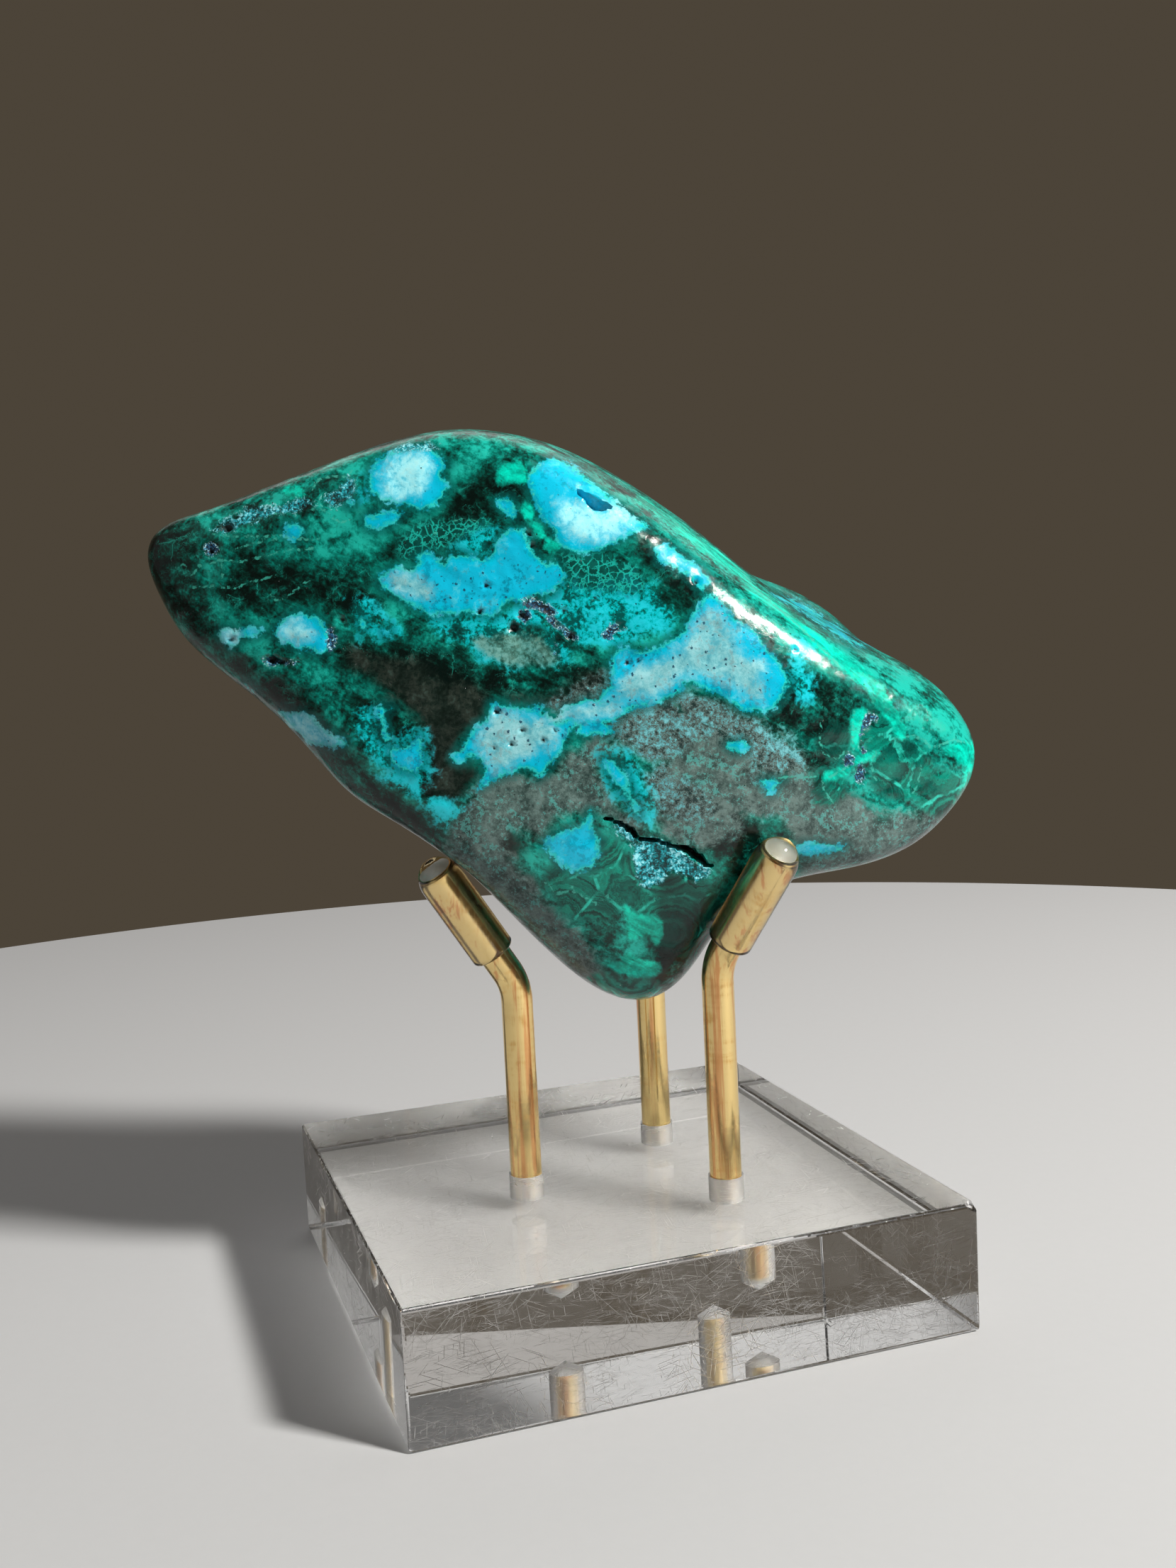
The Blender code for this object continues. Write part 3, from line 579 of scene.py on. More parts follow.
class StandSettings(bpy.types.PropertyGroup):
    """Sizes and colours of the block, the rods and the caps"""

    rod_radius: FloatProperty(
        name="Rod radius", description="Radius of the brass rods", default=1.55 * MM, unit="LENGTH",
    )
    cap_radius: FloatProperty(
        name="Cap radius", description="Outer radius of the clear caps", default=2.2 * MM, unit="LENGTH",
    )
    block_edge: FloatProperty(
        name="Block edge", description="Radius of the block's edges", default=0.35 * MM, unit="LENGTH",
    )
    rod_sides: IntProperty(name="Sides", description="Sides of the round pieces", default=64, min=12, max=128)
    brass: FloatVectorProperty(
        name="Brass", description="Colour of the rods", subtype="COLOR", size=3,
        default=(0.88, 0.66, 0.29), min=0.0, max=1.0,
    )


class StageSettings(bpy.types.PropertyGroup):
    """Floor and light"""

    floor: FloatVectorProperty(
        name="Floor", description="Colour of the floor", subtype="COLOR", size=3,
        default=(0.39, 0.40, 0.42), min=0.0, max=1.0,
    )
    key: FloatProperty(name="Key light", description="Power of the key light", default=11.0, unit="POWER")
    fill: FloatProperty(name="Fill light", description="Power of the fill light", default=0.5, unit="POWER")
    top: FloatProperty(name="Top light", description="Power of the light above", default=3.2, unit="POWER")
    back: FloatProperty(name="Back light", description="Power of the light behind", default=1.6, unit="POWER")


# Rods, as the solids have them, in millimetres and degrees
RODS = {
    "left": {
        "foot": (-8.2, -0.1), "lean_to": 180.0, "lean": 32.0, "rise": 17.3, "cap_from": 2.1, "end": 12.0,
    },
    "right": {
        "foot": (9.25, -9.4), "lean_to": -58.0, "lean": 34.5, "rise": 19.0, "cap_from": 0.7, "end": 11.3,
    },
    "back": {
        "foot": (9.15, 8.9), "lean_to": 58.0, "lean": 33.0, "rise": 16.7, "cap_from": 1.0, "end": 11.8,
    },
}
BLOCK_SIDE, BLOCK_HEIGHT = 53.0 * MM, 12.0 * MM
EDGE_STEPS = 4
HOLE_RADIUS, HOLE_DEPTH, DRILL_POINT_DEG, HOLE_SIDES = 1.7 * MM, 8.0 * MM, 118.0, 64
HOLES_INSIDE, HOLES_ABOVE, HOLES_BELOW = BLOCK_SIDE / 2 - 2 * MM, 0.1 * MM, BLOCK_HEIGHT - 0.01 * MM
CHIP_RADIUS, CHIP_DEPTH, CHIP_AIM, CHIP_STRETCH = 1.6 * MM, 0.7 * MM, (0.6, -0.5, 0.4), (1.3, 1.0, 0.8)
CHIP_ROUGHNESS, CHIP_GRAIN = 0.12, 0.5 * MM
ROD_SINK, BEND_RADIUS, BEND_STEPS, ROD_CHAMFER = 7.8 * MM, 6.0 * MM, 16, 0.25 * MM
CAP_LIP, CAP_DOME, CAP_DOME_ABOVE_ROD, CAP_PINCH = 0.45 * MM, 2.6 * MM, 1.6 * MM, 0.04 * MM
CAP_AIR, CAP_AIR_RADIUS, ROUND_STEPS = 0.3 * MM, 1.3 * MM, 12
TURNED_WELD = 0.0005 * MM

# Edges sharper than these, in degrees, stay sharp in the smooth shading
STONE_SHARP, BLOCK_SHARP, ROD_SHARP, CAP_SHARP = 60.0, 8.0, 30.0, 50.0

# Stage
FLOOR_RADIUS, FLOOR_SIDES, FLOOR_GAP = 0.24, 256, 0.1 * MM
FLOOR_SHADE, FLOOR_ROUGHNESS, CARD_ROUGHNESS, CARD_MARGIN = 0.96, 0.8, 0.7, MM
LIGHTS = {
    # name: place, what it points at, width, height, colour, setting
    "key": ((0.36, -0.42, 0.48), (0.0, 0.0, 0.05), 0.09, 0.09, (1.0, 0.96, 0.89), "key"),
    "fill": ((-0.75, -0.05, 0.45), (0.0, 0.0, 0.05), 0.9, 0.9, (0.94, 0.97, 1.0), "fill"),
    "top": ((0.25, 0.60, 1.05), (0.0, 0.0, 0.0), 1.2, 0.9, (1.0, 0.98, 0.96), "top"),
    "back": ((0.45, 1.40, 1.05), (0.0, 0.0, 0.0), 2.2, 0.7, (1.0, 0.98, 0.96), "back"),
}
# A white card under the block, far paler than the floor: a painted pool of the light that passes through the
# acrylic
PAINTED_LIGHT_CARD, FLECKED_PAINTED_LIGHT_CARD = (0.97, 0.98, 1.0), (0.92, 0.93, 0.95)
WORLD_COLOUR, WORLD_STRENGTH = (1.0, 0.80, 0.56), 0.072


def smooth(mesh, sharp_deg):
    mesh.shade_smooth()
    mesh.set_sharp_from_angle(angle=math.radians(sharp_deg))


def new_object(name, shape, finish, sharp_deg=None):
    """A bmesh as a named object with one material, at the origin."""
    mesh = bpy.data.meshes.new(name)
    shape.to_mesh(mesh)
    shape.free()
    mesh.materials.append(finish)
    if sharp_deg is not None:
        smooth(mesh, sharp_deg)
    made = bpy.data.objects.new(name, mesh)
    bpy.context.scene.collection.objects.link(made)
    return made


def finish_piece(made, node):
    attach(made, "root")
    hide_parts(node)


def give_mark(made, name, values, domain="POINT"):
    """Keeps one value for each point or face on the mesh, for its finish to read."""
    made.data.attributes.new(name, "FLOAT", domain).data.foreach_set("value", values)


# Rods and caps


def foot_place(rod):
    return Vector((rod["foot"][0] * MM, rod["foot"][1] * MM, BLOCK_HEIGHT))


def lean_turn(rod, part=1.0):
    """The turn that takes upright to the rod's lean, or to part of it."""
    turn = math.radians(rod["lean_to"])
    axis = Vector((-math.sin(turn), math.cos(turn), 0.0))
    return Matrix.Rotation(math.radians(rod["lean"]) * part, 4, axis)


def bend_place(rod, part):
    """A point of the rod's centre line, part of the way round its bend."""
    angle, turn = math.radians(rod["lean"]) * part, math.radians(rod["lean_to"])
    out = BEND_RADIUS * (1 - math.cos(angle))
    up = rod["rise"] * MM + BEND_RADIUS * math.sin(angle)
    return foot_place(rod) + Vector((math.cos(turn) * out, math.sin(turn) * out, up))


def lean_place(rod, along):
    return bend_place(rod, 1.0) + lean_turn(rod) @ Vector((0, 0, along))


def cap_reach(rod):
    """How far the rod reaches into its cap."""
    return (rod["end"] - rod["cap_from"]) * MM


def rod_stations(rod, radius):
    """(place, turn, radius) all along a rod, from the foot in its hole to the end in its cap."""
    low = foot_place(rod) - Vector((0, 0, ROD_SINK))
    up, lean = Matrix.Identity(4), lean_turn(rod)
    narrow = radius - ROD_CHAMFER
    rows = [(low, up, narrow), (low + Vector((0, 0, ROD_CHAMFER)), up, radius), (foot_place(rod), up, radius)]
    for step in range(BEND_STEPS + 1):
        part = step / BEND_STEPS
        rows.append((bend_place(rod, part), lean_turn(rod, part), radius))
    end = rod["end"] * MM
    rows.append((lean_place(rod, end - ROD_CHAMFER), lean, radius))
    rows.append((lean_place(rod, end - ROD_CHAMFER / 3), lean, radius - ROD_CHAMFER / 3))
    rows.append((lean_place(rod, end), lean, narrow))
    return rows


def swept(stations, sides):
    """A closed bar through its stations, extruded from one to the next."""
    shape = bmesh.new()
    places = [Matrix.Translation(place) @ turn @ Matrix.Scale(radius, 4) for place, turn, radius in stations]
    bmesh.ops.create_circle(shape, cap_ends=True, segments=sides, radius=1.0, matrix=places[0])
    face = next(iter(shape.faces))
    for before, after in zip(places, places[1:]):
        grown = bmesh.ops.extrude_face_region(shape, geom=[face])
        face = next(item for item in grown["geom"] if isinstance(item, bmesh.types.BMFace))
        bmesh.ops.transform(shape, matrix=after @ before.inverted(), verts=face.verts[:])
    bmesh.ops.recalc_face_normals(shape, faces=shape.faces)
    return shape


def mark_along(made, stations):
    """Gives each point of a rod its length along the rod, for the drawn marks."""
    places = np.array([v.co for v in made.data.vertices])
    line = np.array([place for place, _, _ in stations])
    best, along = np.full(len(places), np.inf), np.zeros(len(places))
    length = 0.0
    for start, end in zip(line, line[1:]):
        axis = end - start
        part = np.clip((places - start) @ axis / (axis @ axis), 0, 1)
        away = np.linalg.norm(places - start - part[:, None] * axis, axis=1)
        closer = away < best
        along = np.where(closer, length + part * np.linalg.norm(axis), along)
        best = np.minimum(best, away)
        length += float(np.linalg.norm(axis))
    give_mark(made, "along", along)


def turned(profile, sides):
    """A closed bmesh of (radius, height) points turned about Z."""
    shape = bmesh.new()
    points = [shape.verts.new((radius, 0.0, height)) for radius, height in profile]
    edges = [shape.edges.new(pair) for pair in zip(points, points[1:])]
    bmesh.ops.spin(
        shape, geom=points + edges, axis=(0, 0, 1), cent=(0, 0, 0), angle=math.tau, steps=sides,
        use_merge=True,
    )
    bmesh.ops.remove_doubles(shape, verts=shape.verts, dist=TURNED_WELD)
    bmesh.ops.recalc_face_normals(shape, faces=shape.faces)
    return shape


def round_profile(inner, width, base, height):
    """A quarter ellipse from its outermost point to its end above inner."""
    angles = [math.pi / 2 * step / ROUND_STEPS for step in range(ROUND_STEPS)]
    rows = [(inner + width * math.cos(angle), base + height * math.sin(angle)) for angle in angles]
    return rows + [(inner, base + height)]


def cap_profile(rod, stand):
    """The soft cap's outline: its bore grips the rod, a thin pocket of air lies past the rod's end."""
    reach = cap_reach(rod)
    outer, bore = stand.cap_radius, stand.rod_radius - CAP_PINCH
    air = round_profile(0.0, CAP_AIR_RADIUS, reach - ROD_CHAMFER / 2, CAP_AIR)[::-1]
    lip = round_profile(outer - CAP_LIP, CAP_LIP, CAP_LIP, -CAP_LIP)[::-1]
    dome = round_profile(0.0, outer, reach + CAP_DOME_ABOVE_ROD - CAP_DOME, CAP_DOME)
    return air + [(bore, reach - ROD_CHAMFER), (bore, 0.0)] + lip + dome


# Block


def drill(rod):
    """The shape that a drill leaves, from above the block's top to its point."""
    point = HOLE_RADIUS / math.tan(math.radians(DRILL_POINT_DEG / 2))
    shape = turned(
        [(0.0, MM), (HOLE_RADIUS, MM), (HOLE_RADIUS, -HOLE_DEPTH), (0.0, -HOLE_DEPTH - point)], HOLE_SIDES
    )
    bmesh.ops.translate(shape, vec=foot_place(rod), verts=shape.verts)
    return shape


def chip():
    """The shell-shaped chip at the block's top right front corner."""
    shape = bmesh.new()
    bmesh.ops.create_icosphere(shape, subdivisions=3, radius=CHIP_RADIUS)
    out = CHIP_RADIUS - CHIP_DEPTH
    corner = (BLOCK_SIDE / 2, -BLOCK_SIDE / 2, BLOCK_HEIGHT)
    place = Vector([side + out * aim for side, aim in zip(corner, CHIP_AIM)])
    for vertex in shape.verts:
        vertex.co *= 1 + CHIP_ROUGHNESS * noise.noise(vertex.co / CHIP_GRAIN)
    bmesh.ops.scale(shape, vec=CHIP_STRETCH, verts=shape.verts)
    bmesh.ops.translate(shape, vec=place, verts=shape.verts)
    return shape


def cut_away(made, shapes, finish):
    """Cuts the shapes out of an object and leaves no modifier on it."""
    cutters = [new_object(f"cutter_{index}", shape, finish) for index, shape in enumerate(shapes)]
    for cutter in cutters:
        boolean = made.modifiers.new(cutter.name, "BOOLEAN")
        boolean.operation, boolean.solver, boolean.object = "DIFFERENCE", "EXACT", cutter
    bpy.context.view_layer.update()
    ready = made.evaluated_get(bpy.context.evaluated_depsgraph_get())
    mesh = bpy.data.meshes.new_from_object(ready)
    made.modifiers.clear()
    made.data = mesh
    for cutter in cutters:
        bpy.data.objects.remove(cutter)


def flat_map(mesh):
    """A map of each face seen square on, in metres, for the scratches."""
    flat = mesh.uv_layers.new(name="flat")
    for face in mesh.polygons:
        away = max(range(3), key=lambda axis: abs(face.normal[axis]))
        across, up = [axis for axis in range(3) if axis != away]
        for loop in face.loop_indices:
            place = mesh.vertices[mesh.loops[loop].vertex_index].co
            flat.data[loop].uv = (place[across], place[up])


def is_drilled(face):
    """Whether a face of the block is part of a hole's wall or point."""
    across, along, up = face.center
    return max(abs(across), abs(along)) < HOLES_INSIDE and HOLES_ABOVE < up < HOLES_BELOW


# Stone


def stone_matrix():
    """From the stone's frame, in millimetres, to the part's, in metres."""
    turn = Matrix.Rotation(math.radians(STONE_TURN_DEG), 4, "Z")
    axes = Matrix(((1, 0, 0, 0), (0, 0, -1, 0), (0, 1, 0, 0), (0, 0, 0, 1)))
    return Matrix.Translation(Vector(STONE_CENTRE) * MM) @ turn @ axes @ Matrix.Scale(MM, 4)


def stone_solid():
    """The CAD stone as a tree that rays can be cast at, in the stone's own frame."""
    shape = bmesh.new()
    shape.from_mesh(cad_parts["stone"].data)
    bmesh.ops.remove_doubles(shape, verts=shape.verts, dist=SOLID_WELD)
    bmesh.ops.transform(shape, matrix=stone_matrix().inverted(), verts=shape.verts)
    tree = BVHTree.FromBMesh(shape)
    shape.free()
    return tree


def smooth_all(shape, factor=1.0):
    every_way = {"use_axis_x": True, "use_axis_y": True, "use_axis_z": True}
    bmesh.ops.smooth_vert(shape, verts=shape.verts, factor=factor, **every_way)


def drape(shape, tree):
    """Puts every point on the solid's surface, along its ray from the centre."""
    for vertex in shape.verts:
        ray = vertex.co.normalized()
        place = tree.ray_cast(ray * RAY_START, -ray)[0]
        if place is not None:
            vertex.co = place


def stone_shape():
    """The fine surface of the stone, in its own frame."""
    tree = stone_solid()
    shape = bmesh.new()
    bmesh.ops.create_icosphere(shape, subdivisions=STONE_SUBDIVISIONS, radius=1.0)
    bmesh.ops.scale(shape, vec=STONE_STRETCH, verts=shape.verts)
    for _ in range(STONE_EVENINGS):
        drape(shape, tree)
        smooth_all(shape)
    drape(shape, tree)
    for _ in range(STONE_POLISHES):
        smooth_all(shape)
    shape.normal_update()
    fine = [edge for edge in shape.edges if all(v.normal.z > FINE_FACING for v in edge.verts)]
    bmesh.ops.subdivide_edges(shape, edges=fine, cuts=1, use_grid_fill=True)
    bmesh.ops.triangulate(shape, faces=[face for face in shape.faces if len(face.verts) > 3])
    smooth_all(shape, LAST_POLISH)
    shape.normal_update()
    return shape


def in_picture(places):
    """Where places, in the part's frame in metres, lie in the camera's picture, in pixels."""
    away = places - EYE
    ahead = away @ EYE_AHEAD
    across = PICTURE_WIDTH / 2 + FOCAL_PIXELS * (away @ EYE_RIGHT) / ahead
    down = PICTURE_HEIGHT / 2 + FOCAL_PIXELS * (away @ EYE_DOWN) / ahead
    return np.stack([across, down], 1)


def smooth_loop(points):
    """A closed smooth curve through the points."""
    points = np.array(points, float)
    before, after, later = (np.roll(points, shift, axis=0) for shift in (1, -1, -2))
    rows = []
    for t in np.arange(LOOP_STEPS) / LOOP_STEPS:
        ease = t * t * (3 - 2 * t)
        pull_out, pull_in = t * (1 - t) ** 2, t * t * (t - 1)
        rows.append(
            points * (1 - ease) + after * ease
            + (after - before) / 2 * pull_out + (later - points) / 2 * pull_in
        )
    return np.stack(rows, 1).reshape(-1, 2)


def path_distance(places, path):
    """Distance in pixels from places to a path, with the path's third value where it is nearest."""
    path = np.array(path, float)
    best, third = np.full(len(places), np.inf), np.zeros(len(places))
    for start, end in zip(path, path[1:]):
        axis = end[:2] - start[:2]
        part = np.clip((places - start[:2]) @ axis / max(axis @ axis, 1e-9), 0, 1)
        away = np.linalg.norm(places - start[:2] - part[:, None] * axis, axis=1)
        closer = away < best
        if path.shape[1] > 2:
            third = np.where(closer, start[2] + part * (end[2] - start[2]), third)
        best = np.minimum(best, away)
    return best, third


def depth_inside(places, outlines):
    """How deep places lie inside any of the outlines, in millimetres, down to -FAR_MM outside them."""
    depth = np.full(len(places), -FAR_MM)
    reach = FAR_MM * PIXELS_PER_MM
    for outline in outlines.values():
        loop = smooth_loop(outline)
        near = np.all((places > loop.min(0) - reach) & (places < loop.max(0) + reach), axis=1)
        spots = places[near]
        if not len(spots):
            continue
        away, _ = path_distance(spots, np.vstack([loop, loop[:1]]))
        start, end = loop, np.roll(loop, -1, axis=0)
        crosses = (start[:, 1] > spots[:, 1:2]) != (end[:, 1] > spots[:, 1:2])
        fall = end[:, 1] - start[:, 1]
        slope = (end[:, 0] - start[:, 0]) / np.where(np.abs(fall) < 1e-9, 1e-9, fall)
        left_of = spots[:, :1] < start[:, 0] + (spots[:, 1:2] - start[:, 1]) * slope
        inside = (crosses & left_of).sum(1) % 2 == 1
        signed = np.where(inside, away, -away) / PIXELS_PER_MM
        depth[near] = np.maximum(depth[near], signed)
    return depth


def wild(places, size, seed, octaves):
    """Cloudy values around 0 for places in millimetres, with clouds about size millimetres across."""
    shift = Vector([seed * part for part in CLOUD_SHIFT])
    return np.array([
        noise.fractal(Vector(place) / size + shift, CLOUD_FALL, CLOUD_SPREAD, octaves) for place in places
    ])


def depth_in_rounds(places, rounds):
    """How deep places lie inside any of the round spots, in millimetres, down to -FAR_MM outside them."""
    depth = np.full(len(places), -FAR_MM)
    for across, down, radius, *_ in rounds:
        away = np.hypot(places[:, 0] - across, places[:, 1] - down)
        depth = np.maximum(depth, (radius - away) / PIXELS_PER_MM)
    return depth


def stone_marks(shape):
    """Everything that the stone's finish needs to know about each point, as named lists of values."""
    local = np.array([v.co for v in shape.verts])
    turned_to = np.array(stone_matrix())
    places = local @ turned_to[:3, :3].T + turned_to[:3, 3]
    normals = np.array([v.normal for v in shape.verts]) @ (turned_to[:3, :3] / MM).T
    to_eye = EYE - places
    facing = (normals * to_eye).sum(1) / np.linalg.norm(to_eye, axis=1)
    seen = np.clip((facing - SEEN_FROM) / (SEEN_TO - SEEN_FROM), 0, 1)
    seen = seen * seen * (3 - 2 * seen)
    spots = in_picture(places)

    def joined(front, back):
        """The front's values where the camera sees the stone, and the back's where it doesn't."""
        return seen * front + (1 - seen) * np.clip(back, -FAR_MM, FAR_MM)

    back = {"beige": -FAR_MM, "deep": -FAR_MM, "druse": -FAR_MM, "speckled": FAR_MM}
    for name, (size, seed, octaves, height, level) in CLOUDS.items():
        back[name] = wild(local, size, seed, octaves) * height + level
    marks = {name: joined(depth_inside(spots, areas), back[name]) for name, areas in OUTLINES.items()}
    marks["eye"] = joined(depth_in_rounds(spots, EYES), marks["bright"] - 0.5)
    marks["pit"] = joined(depth_in_rounds(spots, PITS), -FAR_MM)
    line = np.min([path_distance(spots, path)[0] for path in LINES], axis=0) / PIXELS_PER_MM
    marks["line"] = joined(np.minimum(line, FAR_MM), FAR_MM)
    away, half = path_distance(spots, CRACK)
    marks["crack"] = joined(np.clip((half - away) / PIXELS_PER_MM, -FAR_MM, None), -FAR_MM)
    return spots, seen, marks


def sink_pits(shape, spots, seen, marks):
    """Presses the pits, the crack, the pocket and the crystal hollows into the surface."""
    drop = np.zeros(len(spots))
    for across, down, radius, deep in PITS:
        away = np.hypot(spots[:, 0] - across, spots[:, 1] - down)
        drop = np.maximum(drop, deep * np.clip(1 - (away / radius) ** 2, 0, 1) ** PIT_ROUNDING)
    for path, deep in ((CRACK, CRACK_DEPTH), (POCKET, POCKET_DEPTH)):
        away, half = path_distance(spots, path)
        across = np.clip(1 - (away / np.maximum(half, THINNEST_CUT)) ** 2, 0, 1)
        drop = np.maximum(drop, deep * across ** CUT_ROUNDING)
    druse = np.clip((np.maximum(marks["druse"], marks["frost"]) + CRYSTAL_MARGIN) / CRYSTAL_RISE, 0, 1)
    for index, vertex in enumerate(shape.verts):
        rough = 0.0
        if druse[index] > 0:
            grain = noise.fractal(vertex.co / CRYSTAL_GRAIN, 0.8, 2.1, 3)
            rough = druse[index] * (CRYSTAL_DEPTH + CRYSTAL_DEPTH * grain)
        sunk = (drop[index] + rough) * seen[index]
        if sunk > 0:
            vertex.co -= vertex.normal * sunk


# Finishes


class Finish:
    """A material and short ways to add nodes to it."""

    def __init__(self, name):
        self.material = bpy.data.materials.new(name)
        self.material.use_nodes = True
        self.tree = self.material.node_tree
        self.shader = self.tree.nodes["Principled BSDF"]

    def node(self, kind, inputs=None, **settings):
        made = self.tree.nodes.new(kind)
        for key, value in settings.items():
            setattr(made, key, value)
        for key, value in (inputs or {}).items():
            self.put(made.inputs[key], value)
        return made

    def put(self, socket, value):
        if isinstance(value, bpy.types.NodeSocket):
            self.tree.links.new(value, socket)
        elif value is not None:
            if socket.type == "RGBA" and len(value) == 3:
                value = (*value, 1.0)
            socket.default_value = value

    def math(self, operation, a, b=None, c=None):
        made = self.node("ShaderNodeMath", operation=operation)
        for socket, value in zip(made.inputs, (a, b, c)):
            self.put(socket, value)
        return made.outputs[0]

    def step(self, value, low, high, to_low=0.0, to_high=1.0):
        """A smooth step from to_low at low to to_high at high."""
        inputs = {"Value": value, "From Min": low, "From Max": high, "To Min": to_low, "To Max": to_high}
        return self.node("ShaderNodeMapRange", inputs, interpolation_type="SMOOTHSTEP").outputs["Result"]

    def mix(self, factor, under, over):
        made = self.node("ShaderNodeMix", data_type="RGBA", clamp_factor=True)
        for key, value in (("Factor", factor), ("A", under), ("B", over)):
            kind = "VALUE" if key == "Factor" else "RGBA"
            self.put(next(s for s in made.inputs if s.name == key and s.type == kind), value)
        return next(s for s in made.outputs if s.type == "RGBA")

    def pulled(self, vector, value, amount):
        """A vector with each part pushed by a value, for bent patterns."""
        push = self.math("MULTIPLY", self.math("SUBTRACT", value, 0.5), amount)
        return self.node("ShaderNodeVectorMath", {0: vector, 1: push}, operation="ADD").outputs[0]

    def ramp(self, value, stops):
        made = self.node("ShaderNodeValToRGB", {"Fac": value})
        elements = made.color_ramp.elements
        while len(elements) < len(stops):
            elements.new(0.5)
        for element, (place, colour) in zip(elements, stops):
            element.position, element.color = place, (*colour, 1.0)
        return made.outputs["Color"]

    def noise(self, vector, scale, detail=4.0, roughness=0.5, distortion=0.0, dimensions="3D"):
        inputs = {
            "Vector": vector, "Scale": scale, "Detail": detail, "Roughness": roughness,
            "Distortion": distortion,
        }
        return self.node("ShaderNodeTexNoise", inputs, noise_dimensions=dimensions).outputs["Fac"]

    def noise_along(self, value, scale, roughness=0.5):
        """Noise that changes with one value only."""
        inputs = {"W": value, "Scale": scale, "Detail": 4.0, "Roughness": roughness}
        return self.node("ShaderNodeTexNoise", inputs, noise_dimensions="1D").outputs["Fac"]

    def cells(self, vector, scale, feature="F1", output="Distance"):
        inputs = {"Vector": vector, "Scale": scale}
        return self.node("ShaderNodeTexVoronoi", inputs, feature=feature).outputs[output]

    def spots(self, vector, scale):
        """Scattered spots, as the distance to the nearest one and a colour of its own for each."""
        return self.node("ShaderNodeTexVoronoi", {"Vector": vector, "Scale": scale}, feature="F1").outputs

    def red(self, colour):
        return self.node("ShaderNodeSeparateColor", {"Color": colour}).outputs["Red"]

    def mark(self, name):
        return self.node("ShaderNodeAttribute", attribute_name=name, attribute_type="GEOMETRY").outputs["Fac"]

    def place(self, size=(1.0, 1.0, 1.0), turn=(0.0, 0.0, 0.0), shift=0.0):
        """Object coordinates in millimetres, divided by a pattern's size along its own turned axes."""
        coordinates = self.node("ShaderNodeTexCoord").outputs["Object"]
        inputs = {
            "Vector": coordinates,
            "Scale": tuple(value * MM for value in size),
            "Rotation": tuple(math.radians(value) for value in turn),
            "Location": (shift * MM, shift * MM, 0.0),
        }
        return self.node("ShaderNodeMapping", inputs, vector_type="TEXTURE").outputs["Vector"]

    def pull(self, base, value, amount, middle=0.5):
        """base, pushed up and down by how far value is from its middle."""
        return self.math("MULTIPLY_ADD", self.math("SUBTRACT", value, middle), amount, base)

    def bump(self, height, strength, distance, normal=None):
        inputs = {"Height": height, "Strength": strength, "Distance": distance, "Normal": normal}
        return self.node("ShaderNodeBump", inputs).outputs["Normal"]


class StoneFinish(Finish):
    """The stone's material, with the patterns and the areas that its layers share."""

    def __init__(self):
        super().__init__("malachite and chrysocolla")
        here = self.here = self.place()
        self.big, self.mid = self.noise(here, 0.13, 9, 0.6, 0.8), self.noise(here, 0.5, 8, 0.62, 0.5)
        self.other = self.noise(self.place(shift=31.0), 0.45, 8, 0.64, 0.7)
        self.fine, self.tiny = self.noise(here, 2.4, 4, 0.65, 0.3), self.noise(here, 9.0, 2, 0.6)
        self.fibre = self.noise(self.place((4.0, 1.0, 1.0), RIDGE_TURN), 0.9, 7, 0.62, 0.6)
        self.level = self.pull(self.pull(self.pull(self.big, self.mid, 1.1), self.fibre, 0.7), self.fine, 0.7)
        self.crystal = self.red(self.cells(here, 6.5, "F1", "Color"))
        self.inner_druse = self.edge("druse", 0.35, 0.3)
        self.druse = self.step(self.inner_druse, 0.05, 0.35)
        self.frost = self.area("frost", 0.25, 0.4, 0.3)
        self.crystals = self.math("MAXIMUM", self.druse, self.frost)
        self.hole = self.math(
            "MAXIMUM", self.area("pit", 0.12, 0.05, 0.1, 0.1), self.area("crack", 0.1, 0.05, 0.05, 0.1),
        )
        pinholes = self.step(self.cells(self.place(shift=5.0), 0.9), 0.03, 0.09, 1.0, 0.0)
        self.pinholes = self.math("MULTIPLY", pinholes, self.step(self.other, 0.45, 0.55))
        self.dotted = self.step(self.edge("speckled", 0.5, 0.1), -0.5, 0.8)
        self.dots = self.dark_dots()

    def edge(self, name, wobble, grain):
        """A marked area's depth with a ragged edge, as far in and out as the two sizes in millimetres."""
        return self.pull(self.pull(self.mark(name), self.mid, wobble * 5), self.fine, grain * 5)

    def area(self, name, soft, wobble=0.5, grain=0.2, shift=0.0):
        return self.step(self.edge(name, wobble, grain), shift - soft, shift + soft)

    def dark_dots(self):
        """Scattered dots of many sizes, dense where the stone is speckled."""
        spot = self.spots(self.pulled(self.here, self.fine, 0.5), 1.7)
        size = self.math("MULTIPLY_ADD", self.red(spot["Color"]), 0.34, spot["Distance"])
        dots = self.step(self.pull(size, self.tiny, 0.15), 0.22, 0.31, 1.0, 0.0)
        return self.math("MULTIPLY", dots, self.step(self.dotted, 0.0, 1.0, 0.12, 1.0))


